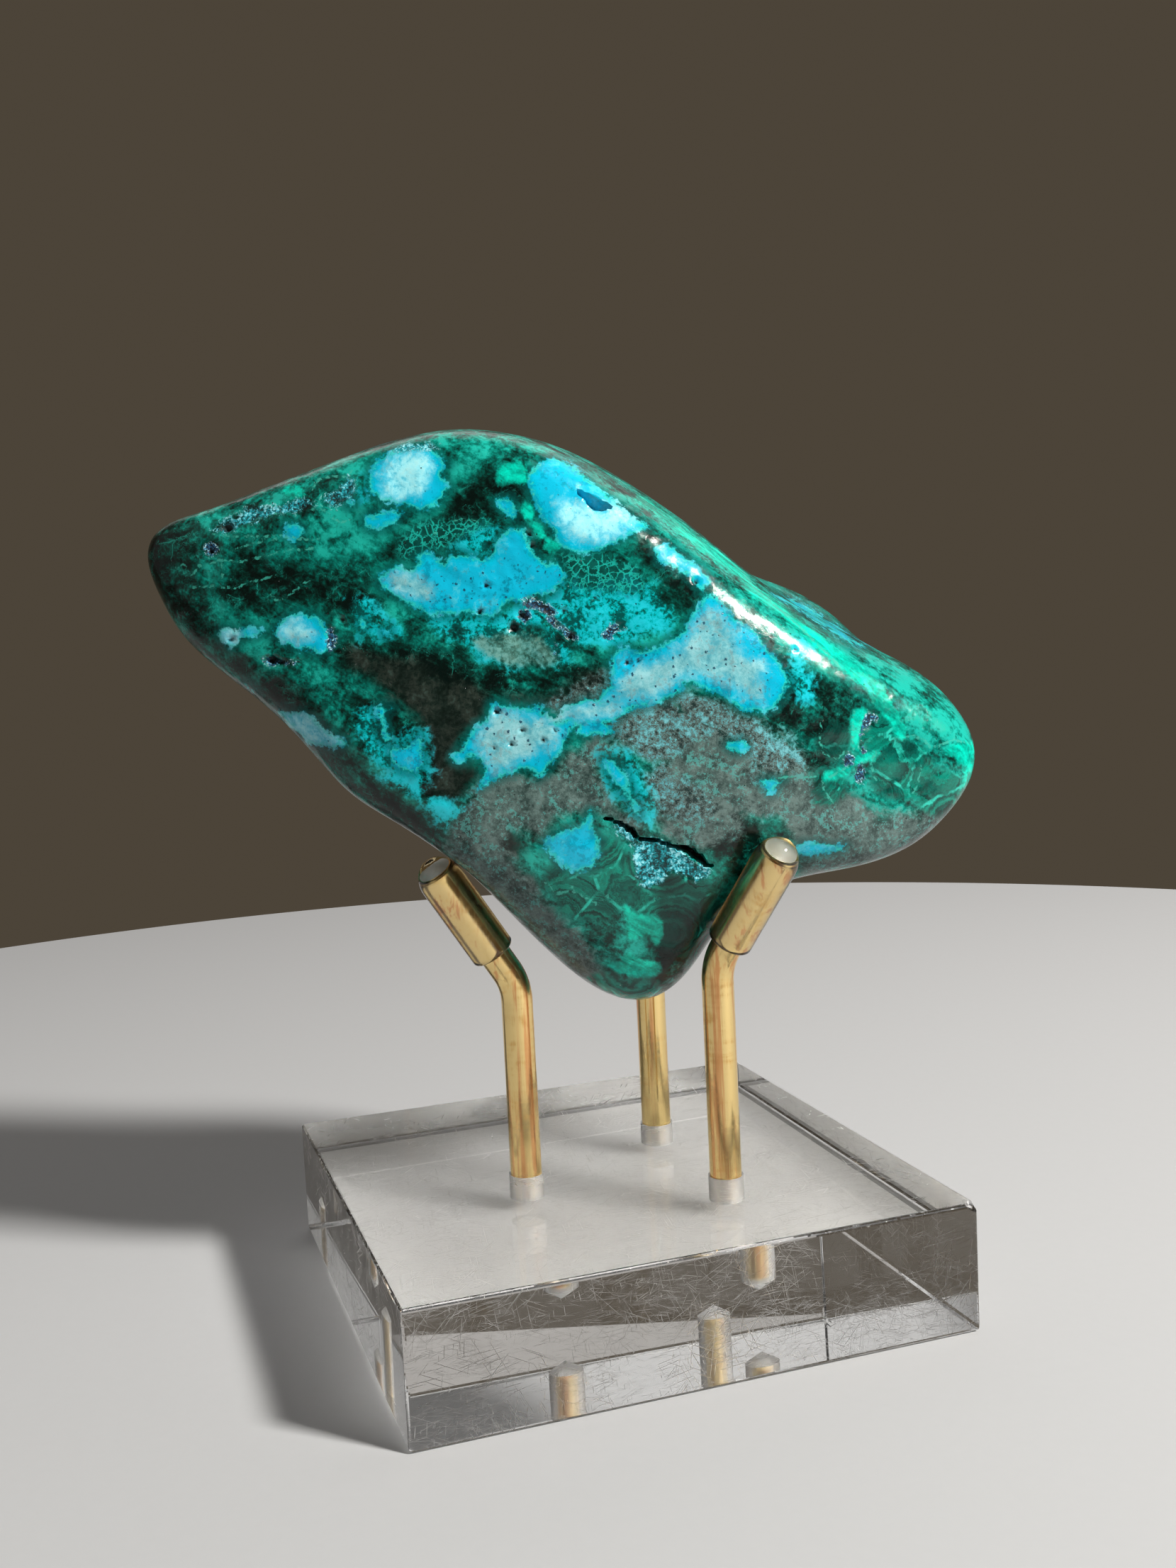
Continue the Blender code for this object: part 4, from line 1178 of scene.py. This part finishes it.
def ground_layer(f):
    """Deep green ground, in clouds and fibres, with a few light threads."""
    lift = f.step(f.mark("bright"), -1.2, 1.2, 0.115, 0.21)
    # The dark mark lowers the ground, also where the right cap's shadow is painted
    lift = f.math("ADD", lift, f.step(f.edge("dark", 0.7, 0.2), -1.2, 0.8, 0.02, -0.20))
    lift = f.math("ADD", lift, f.step(f.mark("dark"), 0.5, 2.5, 0.0, -0.07))
    ground = f.ramp(f.math("ADD", f.level, lift), [
        (0.28, (0.0005, 0.005, 0.004)), (0.42, (0.0006, 0.022, 0.016)), (0.54, (0.0006, 0.070, 0.055)),
        (0.66, (0.001, 0.165, 0.13)), (0.82, (0.008, 0.34, 0.28)),
    ])
    threads = f.step(f.cells(f.pulled(f.here, f.other, 5.0), 0.5, "DISTANCE_TO_EDGE"), 0.0, 0.03, 1.0, 0.0)
    threads = f.math("MULTIPLY", threads, f.step(f.mid, 0.48, 0.6))
    return f.mix(f.math("MULTIPLY", threads, 0.5), ground, (0.02, 0.36, 0.29))


def rock_layers(f, colour):
    """Nearly black rock with a little brown, and two kinds of grey full of blue and green specks: grey rock,
    and smoky grey that is partly painted reflection of the floor.
    """
    brown = f.ramp(f.pull(f.mid, f.fine, 0.7), [
        (0.34, (0.003, 0.008, 0.006)), (0.48, (0.007, 0.015, 0.012)), (0.60, (0.018, 0.026, 0.021)),
        (0.78, (0.035, 0.065, 0.055)),
    ])
    colour = f.mix(f.area("brown", 0.9, 0.9, 0.3), colour, brown)
    speck = f.pull(f.pull(f.pull(f.other, f.fine, 1.3), f.tiny, 0.7), f.fibre, 0.8)
    grey = f.ramp(speck, [
        (0.26, (0.012, 0.030, 0.030)), (0.40, (0.055, 0.085, 0.082)), (0.52, (0.10, 0.16, 0.155)),
        (0.62, (0.07, 0.26, 0.29)), (0.78, (0.15, 0.43, 0.48)),
    ])
    colour = f.mix(f.area("grey", 0.8, 0.9, 0.4), colour, grey)
    # Smoky grey, partly painted reflection of the pale floor
    smoke = f.ramp(f.pull(f.pull(f.mid, f.fine, 0.8), f.tiny, 0.3), [
        (0.32, (0.024, 0.048, 0.045)), (0.50, (0.072, 0.118, 0.112)), (0.66, (0.115, 0.18, 0.172)),
    ])
    smoke = f.mix(f.step(speck, 0.60, 0.70, 0.0, 0.6), smoke, (0.06, 0.34, 0.32))
    return f.mix(f.area("smoke", 0.8, 0.9, 0.3), colour, smoke)


def eye_layer(f, colour, light_band):
    """Banded eyes: rings round each centre, with a light line where they meet."""
    near = f.pulled(f.here, f.mid, 1.2)
    ring = f.spots(near, 0.17)
    out = f.pull(f.math("MULTIPLY_ADD", f.red(ring["Color"]), 9.0, ring["Distance"]), f.fine, 0.12)
    bands = f.noise_along(out, 8.0, 0.75)
    banded = f.ramp(f.pull(f.pull(bands, ring["Distance"], 0.35), f.mid, 0.5), [
        (0.32, (0.0, 0.024, 0.018)), (0.47, (0.0, 0.070, 0.055)), (0.62, light_band),
        (0.74, (0.001, 0.27, 0.20)),
    ])
    meet = f.step(f.cells(near, 0.17, "DISTANCE_TO_EDGE"), 0.008, 0.03, 1.0, 0.0)
    banded = f.mix(f.math("MULTIPLY", meet, f.step(f.other, 0.42, 0.58)), banded, (0.02, 0.45, 0.36))
    # Eyes go nearly black under the dark mark, which includes the right cap's painted shadow
    banded = f.mix(f.step(f.edge("dark", 0.5, 0.2), -0.4, 1.0, 0.0, 0.7), banded, (0.0006, 0.014, 0.012))
    return f.mix(f.area("eye", 0.6, 0.7), colour, banded)


def teal_layers(f, colour):
    """Teal, cells of mint lines, and deep green islands."""
    teal = f.ramp(f.pull(f.level, f.fine, 0.6), [
        (0.35, (0.0, 0.07, 0.065)), (0.46, (0.0, 0.22, 0.21)), (0.55, (0.0, 0.40, 0.45)),
        (0.70, (0.01, 0.48, 0.58)),
    ])
    colour = f.mix(f.area("teal", 0.8, 1.0, 0.4), colour, teal)
    lace = f.step(f.cells(f.pulled(f.here, f.fine, 1.0), 1.35, "DISTANCE_TO_EDGE"), 0.02, 0.11, 1.0, 0.0)
    net = f.mix(lace, (0.001, 0.045, 0.038), (0.01, 0.38, 0.32))
    colour = f.mix(f.math("MULTIPLY", f.area("net", 0.6, 0.5), 0.85), colour, net)
    deep = f.ramp(f.fine, [
        (0.35, (0.001, 0.015, 0.012)), (0.5, (0.002, 0.05, 0.04)), (0.62, (0.003, 0.16, 0.14)),
    ])
    return f.mix(f.area("deep", 0.4, 0.6, 0.4), colour, deep)


def pale_core(f, pale, mottle):
    """The pale middle of a blue patch: clear and bright, or duller and mottled where it is speckled."""
    clouds = f.pull(f.mid, f.fine, 0.8)
    core = f.ramp(clouds, [(0.3, (0.10, 0.48, 0.62)), (0.5, pale), (0.68, (0.34, 0.74, 0.80))])
    dull = f.ramp(clouds, [
        (0.3, (0.07, 0.30, 0.37)), (0.5, (0.155, 0.43, 0.48)), (0.68, (0.25, 0.54, 0.60)),
    ])
    core = f.mix(f.math("MULTIPLY", f.dotted, 0.85), core, dull)
    return f.mix(f.math("MULTIPLY", mottle, f.step(f.dotted, 0.0, 1.0, 0.05, 0.5)), core, (0.12, 0.20, 0.22))


def blue_layer(f, colour, cyan, pale):
    """Blue patches: a dark halo, a thin mint rim, strong cyan and a pale core."""
    rim = f.edge("blue", 0.36, 0.24)
    colour = f.mix(f.step(rim, -1.0, -0.1, 0.0, 0.6), colour, (0.0, 0.075, 0.07))
    blue = f.ramp(f.step(rim, 0.0, 1.6), [
        (0.0, (0.0, 0.18, 0.18)), (0.05, (0.02, 0.46, 0.43)), (0.16, (0.0, 0.36, 0.46)), (0.35, cyan),
        (1.0, (0.003, 0.40, 0.60)),
    ])
    blue = f.mix(f.step(f.pull(f.other, f.fine, 1.0), 0.50, 0.66, 0.0, 0.75), blue, (0.0, 0.24, 0.36))
    blue = f.mix(f.step(f.pull(f.mid, f.fine, 0.6), 0.54, 0.70, 0.0, 0.5), blue, (0.08, 0.56, 0.68))
    mottle = f.step(f.pull(f.other, f.fine, 1.2), 0.56, 0.70)
    mottled = f.math("MULTIPLY", mottle, f.step(f.dotted, 0.0, 1.0, 0.0, 0.4))
    blue = f.mix(mottled, blue, (0.003, 0.13, 0.20))
    blue = f.mix(f.area("pale", 0.9, 0.5, 0.2, 0.15), blue, pale_core(f, pale, mottle))
    blue = f.mix(f.math("MULTIPLY", f.dots, 0.9), blue, (0.006, 0.05, 0.10))
    return f.mix(f.step(rim, -0.12, 0.12), colour, blue)


def light_layers(f, colour, bright):
    """The beige lens, the mint band and the pale lines."""
    beige = f.ramp(f.pull(f.mid, f.fine, 0.8), [
        (0.3, (0.01, 0.06, 0.05)), (0.5, (0.07, 0.165, 0.135)), (0.68, (0.17, 0.31, 0.25)),
    ])
    colour = f.mix(f.math("MULTIPLY", f.area("beige", 0.5, 0.4), 0.8), colour, beige)
    mint = f.ramp(f.pull(f.fibre, f.fine, 0.4), [
        (0.34, (0.0, 0.16, 0.12)), (0.5, (0.0, 0.36, 0.27)), (0.62, bright),
    ])
    colour = f.mix(f.area("mint", 0.28, 0.2, 0.1, -0.12), colour, mint)
    line = f.pull(f.mark("line"), f.fine, 0.8)
    return f.mix(f.step(line, 0.02, 0.15, 0.75, 0.0), colour, (0.04, 0.36, 0.29))


def crystal_layers(f, colour):
    """Rough blue crystals with painted glints, frosted crystals, and painted shade in the pits, the crack and
    the pinholes.
    """
    # The dark blue and cyan are the crystals' colour; the brightest stops, on scattered crystals, are painted
    # glints
    druse = f.ramp(f.pull(f.crystal, f.step(f.inner_druse, 0.0, 0.8), -0.6), [
        (0.1, (0.002, 0.008, 0.014)), (0.45, (0.004, 0.03, 0.07)), (0.72, (0.01, 0.11, 0.24)),
        (0.92, (0.06, 0.36, 0.50)), (0.99, (0.40, 0.72, 0.82)),
    ])
    colour = f.mix(f.druse, colour, druse)
    frost = f.ramp(f.pull(f.pull(f.fine, f.crystal, 0.25), f.mid, 1.0), [
        (0.36, (0.002, 0.03, 0.034)), (0.47, (0.002, 0.15, 0.17)), (0.57, (0.01, 0.35, 0.44)),
        (0.70, (0.26, 0.66, 0.74)),
    ])
    colour = f.mix(f.frost, colour, frost)
    # Painted shade: the pits and the crack are darkened nearly to black
    colour = f.mix(f.math("MULTIPLY", f.hole, 0.92), colour, (0.003, 0.005, 0.005))
    # Painted shade: the pinholes are darkened
    return f.mix(f.math("MULTIPLY", f.pinholes, 0.8), colour, (0.003, 0.012, 0.014))


def stone_relief(f):
    """Polishing scratches, soft waves and fine grain, and the relief of crystals, dots and pinholes."""
    scratch = f.noise(f.place((3.0, 0.07, 0.07), (0.0, -38.0, -18.5)), 1.0, 2, 0.6)
    crossed = f.noise(f.place((2.0, 0.08, 0.08), (0.0, 20.0, -30.0)), 1.0, 2, 0.6)
    scratches = f.math("MAXIMUM", f.step(scratch, 0.58, 0.66), f.step(crossed, 0.60, 0.68))
    scratched = f.bump(scratches, 0.3, -0.01 * MM)
    waved = f.bump(f.noise(f.place(shift=12.0), 0.25, 2, 0.5), 0.5, 0.9 * MM, scratched)
    grained = f.bump(f.pull(f.mid, f.fine, 0.5), 0.45, 0.08 * MM, waved)
    dots = f.math("MULTIPLY", f.dots, f.area("pale", 0.5))
    relief = f.math("MULTIPLY", f.math("MAXIMUM", f.crystals, dots), f.crystal)
    return f.bump(f.math("SUBTRACT", relief, f.pinholes), 0.8, 0.15 * MM, grained)


def stone_finish(settings):
    """Polished malachite with chrysocolla, coloured by the marks on its mesh."""
    f = StoneFinish()
    s = f.shader.inputs
    colour = rock_layers(f, ground_layer(f))
    colour = eye_layer(f, colour, tuple(settings.green))
    colour = teal_layers(f, colour)
    colour = blue_layer(f, colour, tuple(settings.cyan), tuple(settings.pale))
    colour = light_layers(f, colour, tuple(settings.mint))
    f.put(s["Base Color"], crystal_layers(f, colour))
    f.put(s["IOR"], 1.5)
    f.put(s["Specular IOR Level"], 0.4)
    polish = f.pull(settings.roughness, f.mid, 0.3)
    f.put(s["Roughness"], f.math("MULTIPLY_ADD", f.math("MAXIMUM", f.crystals, f.hole), 0.3, polish))
    f.put(s["Normal"], stone_relief(f))
    return f.material


def acrylic_finish():
    """Clear acrylic with fine scratches, rough in the drilled holes."""
    f = Finish("clear acrylic")
    s = f.shader.inputs
    f.put(s["Base Color"], (0.985, 0.99, 0.99))
    f.put(s["Transmission Weight"], 1.0)
    f.put(s["IOR"], 1.49)
    flat = f.node("ShaderNodeUVMap", uv_map="flat").outputs["UV"]
    wide = f.noise(f.place(), 0.12, 5, 0.6)
    scratches = None
    for index, turn in enumerate(ACRYLIC_SCRATCHES):
        inputs = {
            "Vector": flat, "Scale": (7.0 * MM, 0.13 * MM, MM), "Rotation": (0.0, 0.0, math.radians(turn)),
            "Location": (index * MM, 0.0, 0.0),
        }
        lengthwise = f.node("ShaderNodeMapping", inputs, vector_type="TEXTURE").outputs["Vector"]
        mark = f.step(f.noise(lengthwise, 1.0, 1.0, 0.5, 0.1, "2D"), 0.745, 0.78)
        scratches = mark if scratches is None else f.math("MAXIMUM", scratches, mark)
    scratches = f.math("MULTIPLY", scratches, f.step(wide, 0.42, 0.54))
    drilled = f.mark("drilled")
    rough = f.math("MULTIPLY_ADD", scratches, 0.32, 0.006)
    f.put(s["Roughness"], f.math("MULTIPLY_ADD", drilled, 0.5, rough))
    f.put(s["Normal"], f.bump(scratches, 0.3, 0.02 * MM))
    return f.material


def brass_finish(settings):
    """Drawn brass: marks along the rod, faint rings round it, clouds of tarnish, and copper streaks along the
    rod that are painted reflection of a dark room.
    """
    f = Finish("drawn brass")
    s = f.shader.inputs
    stripes = f.noise(f.place((0.12, 0.12, 5.0)), 1.0, 3, 0.6)
    clouds = f.noise(f.place(), 0.35, 5, 0.6, 0.5)
    rings = f.noise_along(f.math("MULTIPLY", f.mark("along"), 1 / MM), 2.0)
    tarnish = f.pull(f.pull(clouds, stripes, 0.5), rings, 0.3)
    brass = tuple(settings.brass)
    warm = tuple(value * part for value, part in zip(brass, (0.86, 0.68, 0.50)))
    painted_reflection_copper = tuple(value * part for value, part in zip(brass, (0.80, 0.50, 0.45)))
    # Copper streaks along the rod: painted reflection of a dark room
    lengthwise = f.pull(f.noise(f.place((0.9, 0.9, 28.0)), 1.0, 2, 0.5), stripes, 0.3)
    colour = f.mix(f.step(tarnish, 0.50, 0.80), brass, warm)
    f.put(s["Base Color"], f.mix(f.step(lengthwise, 0.54, 0.66, 0.0, 0.85), colour, painted_reflection_copper))
    f.put(s["Metallic"], 1.0)
    f.put(s["Roughness"], f.step(tarnish, 0.40, 0.75, 0.13, 0.26))
    grain = f.bump(stripes, 0.12, 0.02 * MM)
    f.put(s["Normal"], f.bump(rings, 0.05, 0.02 * MM, grain))
    return f.material


def cap_finish():
    """Clear soft vinyl, pearly where the air lies past the rod's end."""
    f = Finish("clear soft vinyl")
    s = f.shader.inputs
    f.put(s["Base Color"], (0.99, 0.985, 0.96))
    f.put(s["Transmission Weight"], 1.0)
    f.put(s["IOR"], 1.5)
    cloudy = f.noise(f.place(), 0.9, 3)
    clear = f.step(cloudy, 0.45, 0.75, 0.02, 0.10)
    f.put(s["Roughness"], f.math("MULTIPLY_ADD", f.mark("pearly"), 0.45, clear))
    f.put(s["Normal"], f.bump(cloudy, 0.15, 0.1 * MM))
    return f.material


class MINERAL_OT_stone(bpy.types.Operator):
    """Make the polished stone, with its colours, pits and crack"""

    bl_idname = "mineral.stone"
    bl_label = "Make the stone"

    def execute(self, context):
        shape = stone_shape()
        spots, seen, marks = stone_marks(shape)
        sink_pits(shape, spots, seen, marks)
        bmesh.ops.transform(shape, matrix=stone_matrix(), verts=shape.verts)
        bmesh.ops.recalc_face_normals(shape, faces=shape.faces)
        stone = new_object("polished_stone", shape, stone_finish(context.scene.mineral_stone), STONE_SHARP)
        for name, values in marks.items():
            give_mark(stone, name, values)
        finish_piece(stone, "stone")
        return {"FINISHED"}


class MINERAL_OT_block(bpy.types.Operator):
    """Make the clear block with its drilled holes and the chip at its corner"""

    bl_idname = "mineral.block"
    bl_label = "Make the block"

    def execute(self, context):
        settings = context.scene.mineral_stand
        shape = bmesh.new()
        bmesh.ops.create_cube(shape, size=1.0)
        bmesh.ops.scale(shape, vec=(BLOCK_SIDE, BLOCK_SIDE, BLOCK_HEIGHT), verts=shape.verts)
        bmesh.ops.translate(shape, vec=(0, 0, BLOCK_HEIGHT / 2), verts=shape.verts)
        bmesh.ops.bevel(
            shape, geom=shape.edges[:], offset=settings.block_edge, segments=EDGE_STEPS, profile=0.5,
            affect="EDGES", material=-1,
        )
        finish = acrylic_finish()
        block = new_object("clear_block", shape, finish)
        cut_away(block, [drill(rod) for rod in RODS.values()] + [chip()], finish)
        smooth(block.data, BLOCK_SHARP)
        flat_map(block.data)
        give_mark(block, "drilled", [is_drilled(face) for face in block.data.polygons], "FACE")
        finish_piece(block, "block")
        return {"FINISHED"}


class MINERAL_OT_rods(bpy.types.Operator):
    """Make the three bent brass rods"""

    bl_idname = "mineral.rods"
    bl_label = "Make the rods"

    def execute(self, context):
        settings = context.scene.mineral_stand
        finish = brass_finish(settings)
        for name, rod in RODS.items():
            stations = rod_stations(rod, settings.rod_radius)
            made = new_object(f"brass_rod_{name}", swept(stations, settings.rod_sides), finish, ROD_SHARP)
            mark_along(made, stations)
            finish_piece(made, f"rod_{name}")
        return {"FINISHED"}


class MINERAL_OT_caps(bpy.types.Operator):
    """Make the clear soft caps on the rods' ends"""

    bl_idname = "mineral.caps"
    bl_label = "Make the caps"

    def execute(self, context):
        settings = context.scene.mineral_stand
        finish = cap_finish()
        for name, rod in RODS.items():
            shape = turned(cap_profile(rod, settings), settings.rod_sides)
            low, high = cap_reach(rod) - ROD_CHAMFER, cap_reach(rod) + 1.5 * CAP_AIR
            bore = settings.rod_radius
            pearly = [spot.co.xy.length < bore and low < spot.co.z < high for spot in shape.verts]
            place = Matrix.Translation(lean_place(rod, rod["cap_from"] * MM)) @ lean_turn(rod)
            bmesh.ops.transform(shape, matrix=place, verts=shape.verts)
            made = new_object(f"clear_cap_{name}", shape, finish, CAP_SHARP)
            give_mark(made, "pearly", pearly)
            finish_piece(made, f"cap_{name}")
        return {"FINISHED"}


class MINERAL_OT_stage(bpy.types.Operator):
    """Make the floor, the lights and the camera"""

    bl_idname = "mineral.stage"
    bl_label = "Make the stage"

    def execute(self, context):
        scene, settings = context.scene, context.scene.mineral_stage
        floor = Finish("pale floor")
        paper = floor.noise(floor.place(), 0.8, 6, 0.65)
        shade = tuple(value * FLOOR_SHADE for value in settings.floor)
        floor.put(floor.shader.inputs["Base Color"], floor.mix(paper, shade, tuple(settings.floor)))
        floor.put(floor.shader.inputs["Roughness"], FLOOR_ROUGHNESS)
        shape = bmesh.new()
        bmesh.ops.create_circle(shape, cap_ends=True, segments=FLOOR_SIDES, radius=FLOOR_RADIUS)
        bmesh.ops.translate(shape, vec=(0, 0, -FLOOR_GAP), verts=shape.verts)
        new_object("floor", shape, floor.material)
        # Painted light: a pale card under the block stands in for the light through the acrylic
        card = Finish("white card")
        flecks = card.noise(card.place(), 1.5)
        card.put(card.shader.inputs["Base Color"], card.mix(flecks, PAINTED_LIGHT_CARD, FLECKED_PAINTED_LIGHT_CARD))
        card.put(card.shader.inputs["Roughness"], CARD_ROUGHNESS)
        shape = bmesh.new()
        bmesh.ops.create_grid(shape, x_segments=1, y_segments=1, size=BLOCK_SIDE / 2 - CARD_MARGIN)
        bmesh.ops.translate(shape, vec=(0, 0, -FLOOR_GAP / 2), verts=shape.verts)
        new_object("card", shape, card.material)
        for name, (place, target, width, height, colour, power) in LIGHTS.items():
            light = bpy.data.lights.new(name, "AREA")
            light.shape, light.size, light.size_y = "RECTANGLE", width, height
            light.color, light.energy = colour, getattr(settings, power)
            lamp = bpy.data.objects.new(name, light)
            aim = Vector(target) - Vector(place)
            lamp.matrix_world = Matrix.Translation(place) @ aim.to_track_quat("-Z", "Y").to_matrix().to_4x4()
            lamp.visible_camera = False
            scene.collection.objects.link(lamp)
        scene.world = scene.world or bpy.data.worlds.new("room")
        scene.world.use_nodes = True
        backdrop = scene.world.node_tree.nodes["Background"]
        backdrop.inputs["Color"].default_value = (*WORLD_COLOUR, 1.0)
        backdrop.inputs["Strength"].default_value = WORLD_STRENGTH
        camera = bpy.data.objects.new("camera", bpy.data.cameras.new("camera"))
        axes = Matrix((EYE_RIGHT, -EYE_DOWN, -EYE_AHEAD)).transposed()
        camera.matrix_world = Matrix.Translation(EYE) @ axes.to_4x4()
        camera.data.sensor_width = SENSOR_MM
        camera.data.lens = FOCAL_PIXELS * SENSOR_MM / PICTURE_HEIGHT
        camera.data.clip_start = 0.01
        scene.collection.objects.link(camera)
        scene.camera = camera
        scene.view_settings.view_transform = "Standard"
        return {"FINISHED"}


class MINERAL_PT_sidebar(bpy.types.Panel):
    """Settings of the stone, its stand and the stage, and the steps that make them"""

    bl_label = "Mineral on a stand"
    bl_space_type = "VIEW_3D"
    bl_region_type = "UI"
    bl_category = "Mineral"

    def draw(self, context):
        groups = (
            (context.scene.mineral_stone, ("cyan", "pale", "green", "mint", "roughness"), ("stone",)),
            (context.scene.mineral_stand, ("rod_radius", "cap_radius", "block_edge", "rod_sides", "brass"),
             ("block", "rods", "caps")),
            (context.scene.mineral_stage, ("floor", "key", "fill", "top", "back"), ("stage",)),
        )
        for settings, names, operators in groups:
            box = self.layout.box()
            for name in names:
                box.prop(settings, name)
            for name in operators:
                box.operator(f"mineral.{name}")


CLASSES = (
    StoneSettings, StandSettings, StageSettings, MINERAL_OT_stone, MINERAL_OT_block, MINERAL_OT_rods,
    MINERAL_OT_caps, MINERAL_OT_stage, MINERAL_PT_sidebar,
)
SETTINGS = {"mineral_stone": StoneSettings, "mineral_stand": StandSettings, "mineral_stage": StageSettings}


def register():
    for made in CLASSES:
        bpy.utils.register_class(made)
    for name, group in SETTINGS.items():
        setattr(bpy.types.Scene, name, PointerProperty(type=group))


def unregister():
    for name in SETTINGS:
        delattr(bpy.types.Scene, name)
    for made in reversed(CLASSES):
        bpy.utils.unregister_class(made)


def main():
    register()
    bpy.ops.mineral.stone()
    bpy.ops.mineral.block()
    bpy.ops.mineral.rods()
    bpy.ops.mineral.caps()
    bpy.ops.mineral.stage()


if __name__ == "__main__":
    main()
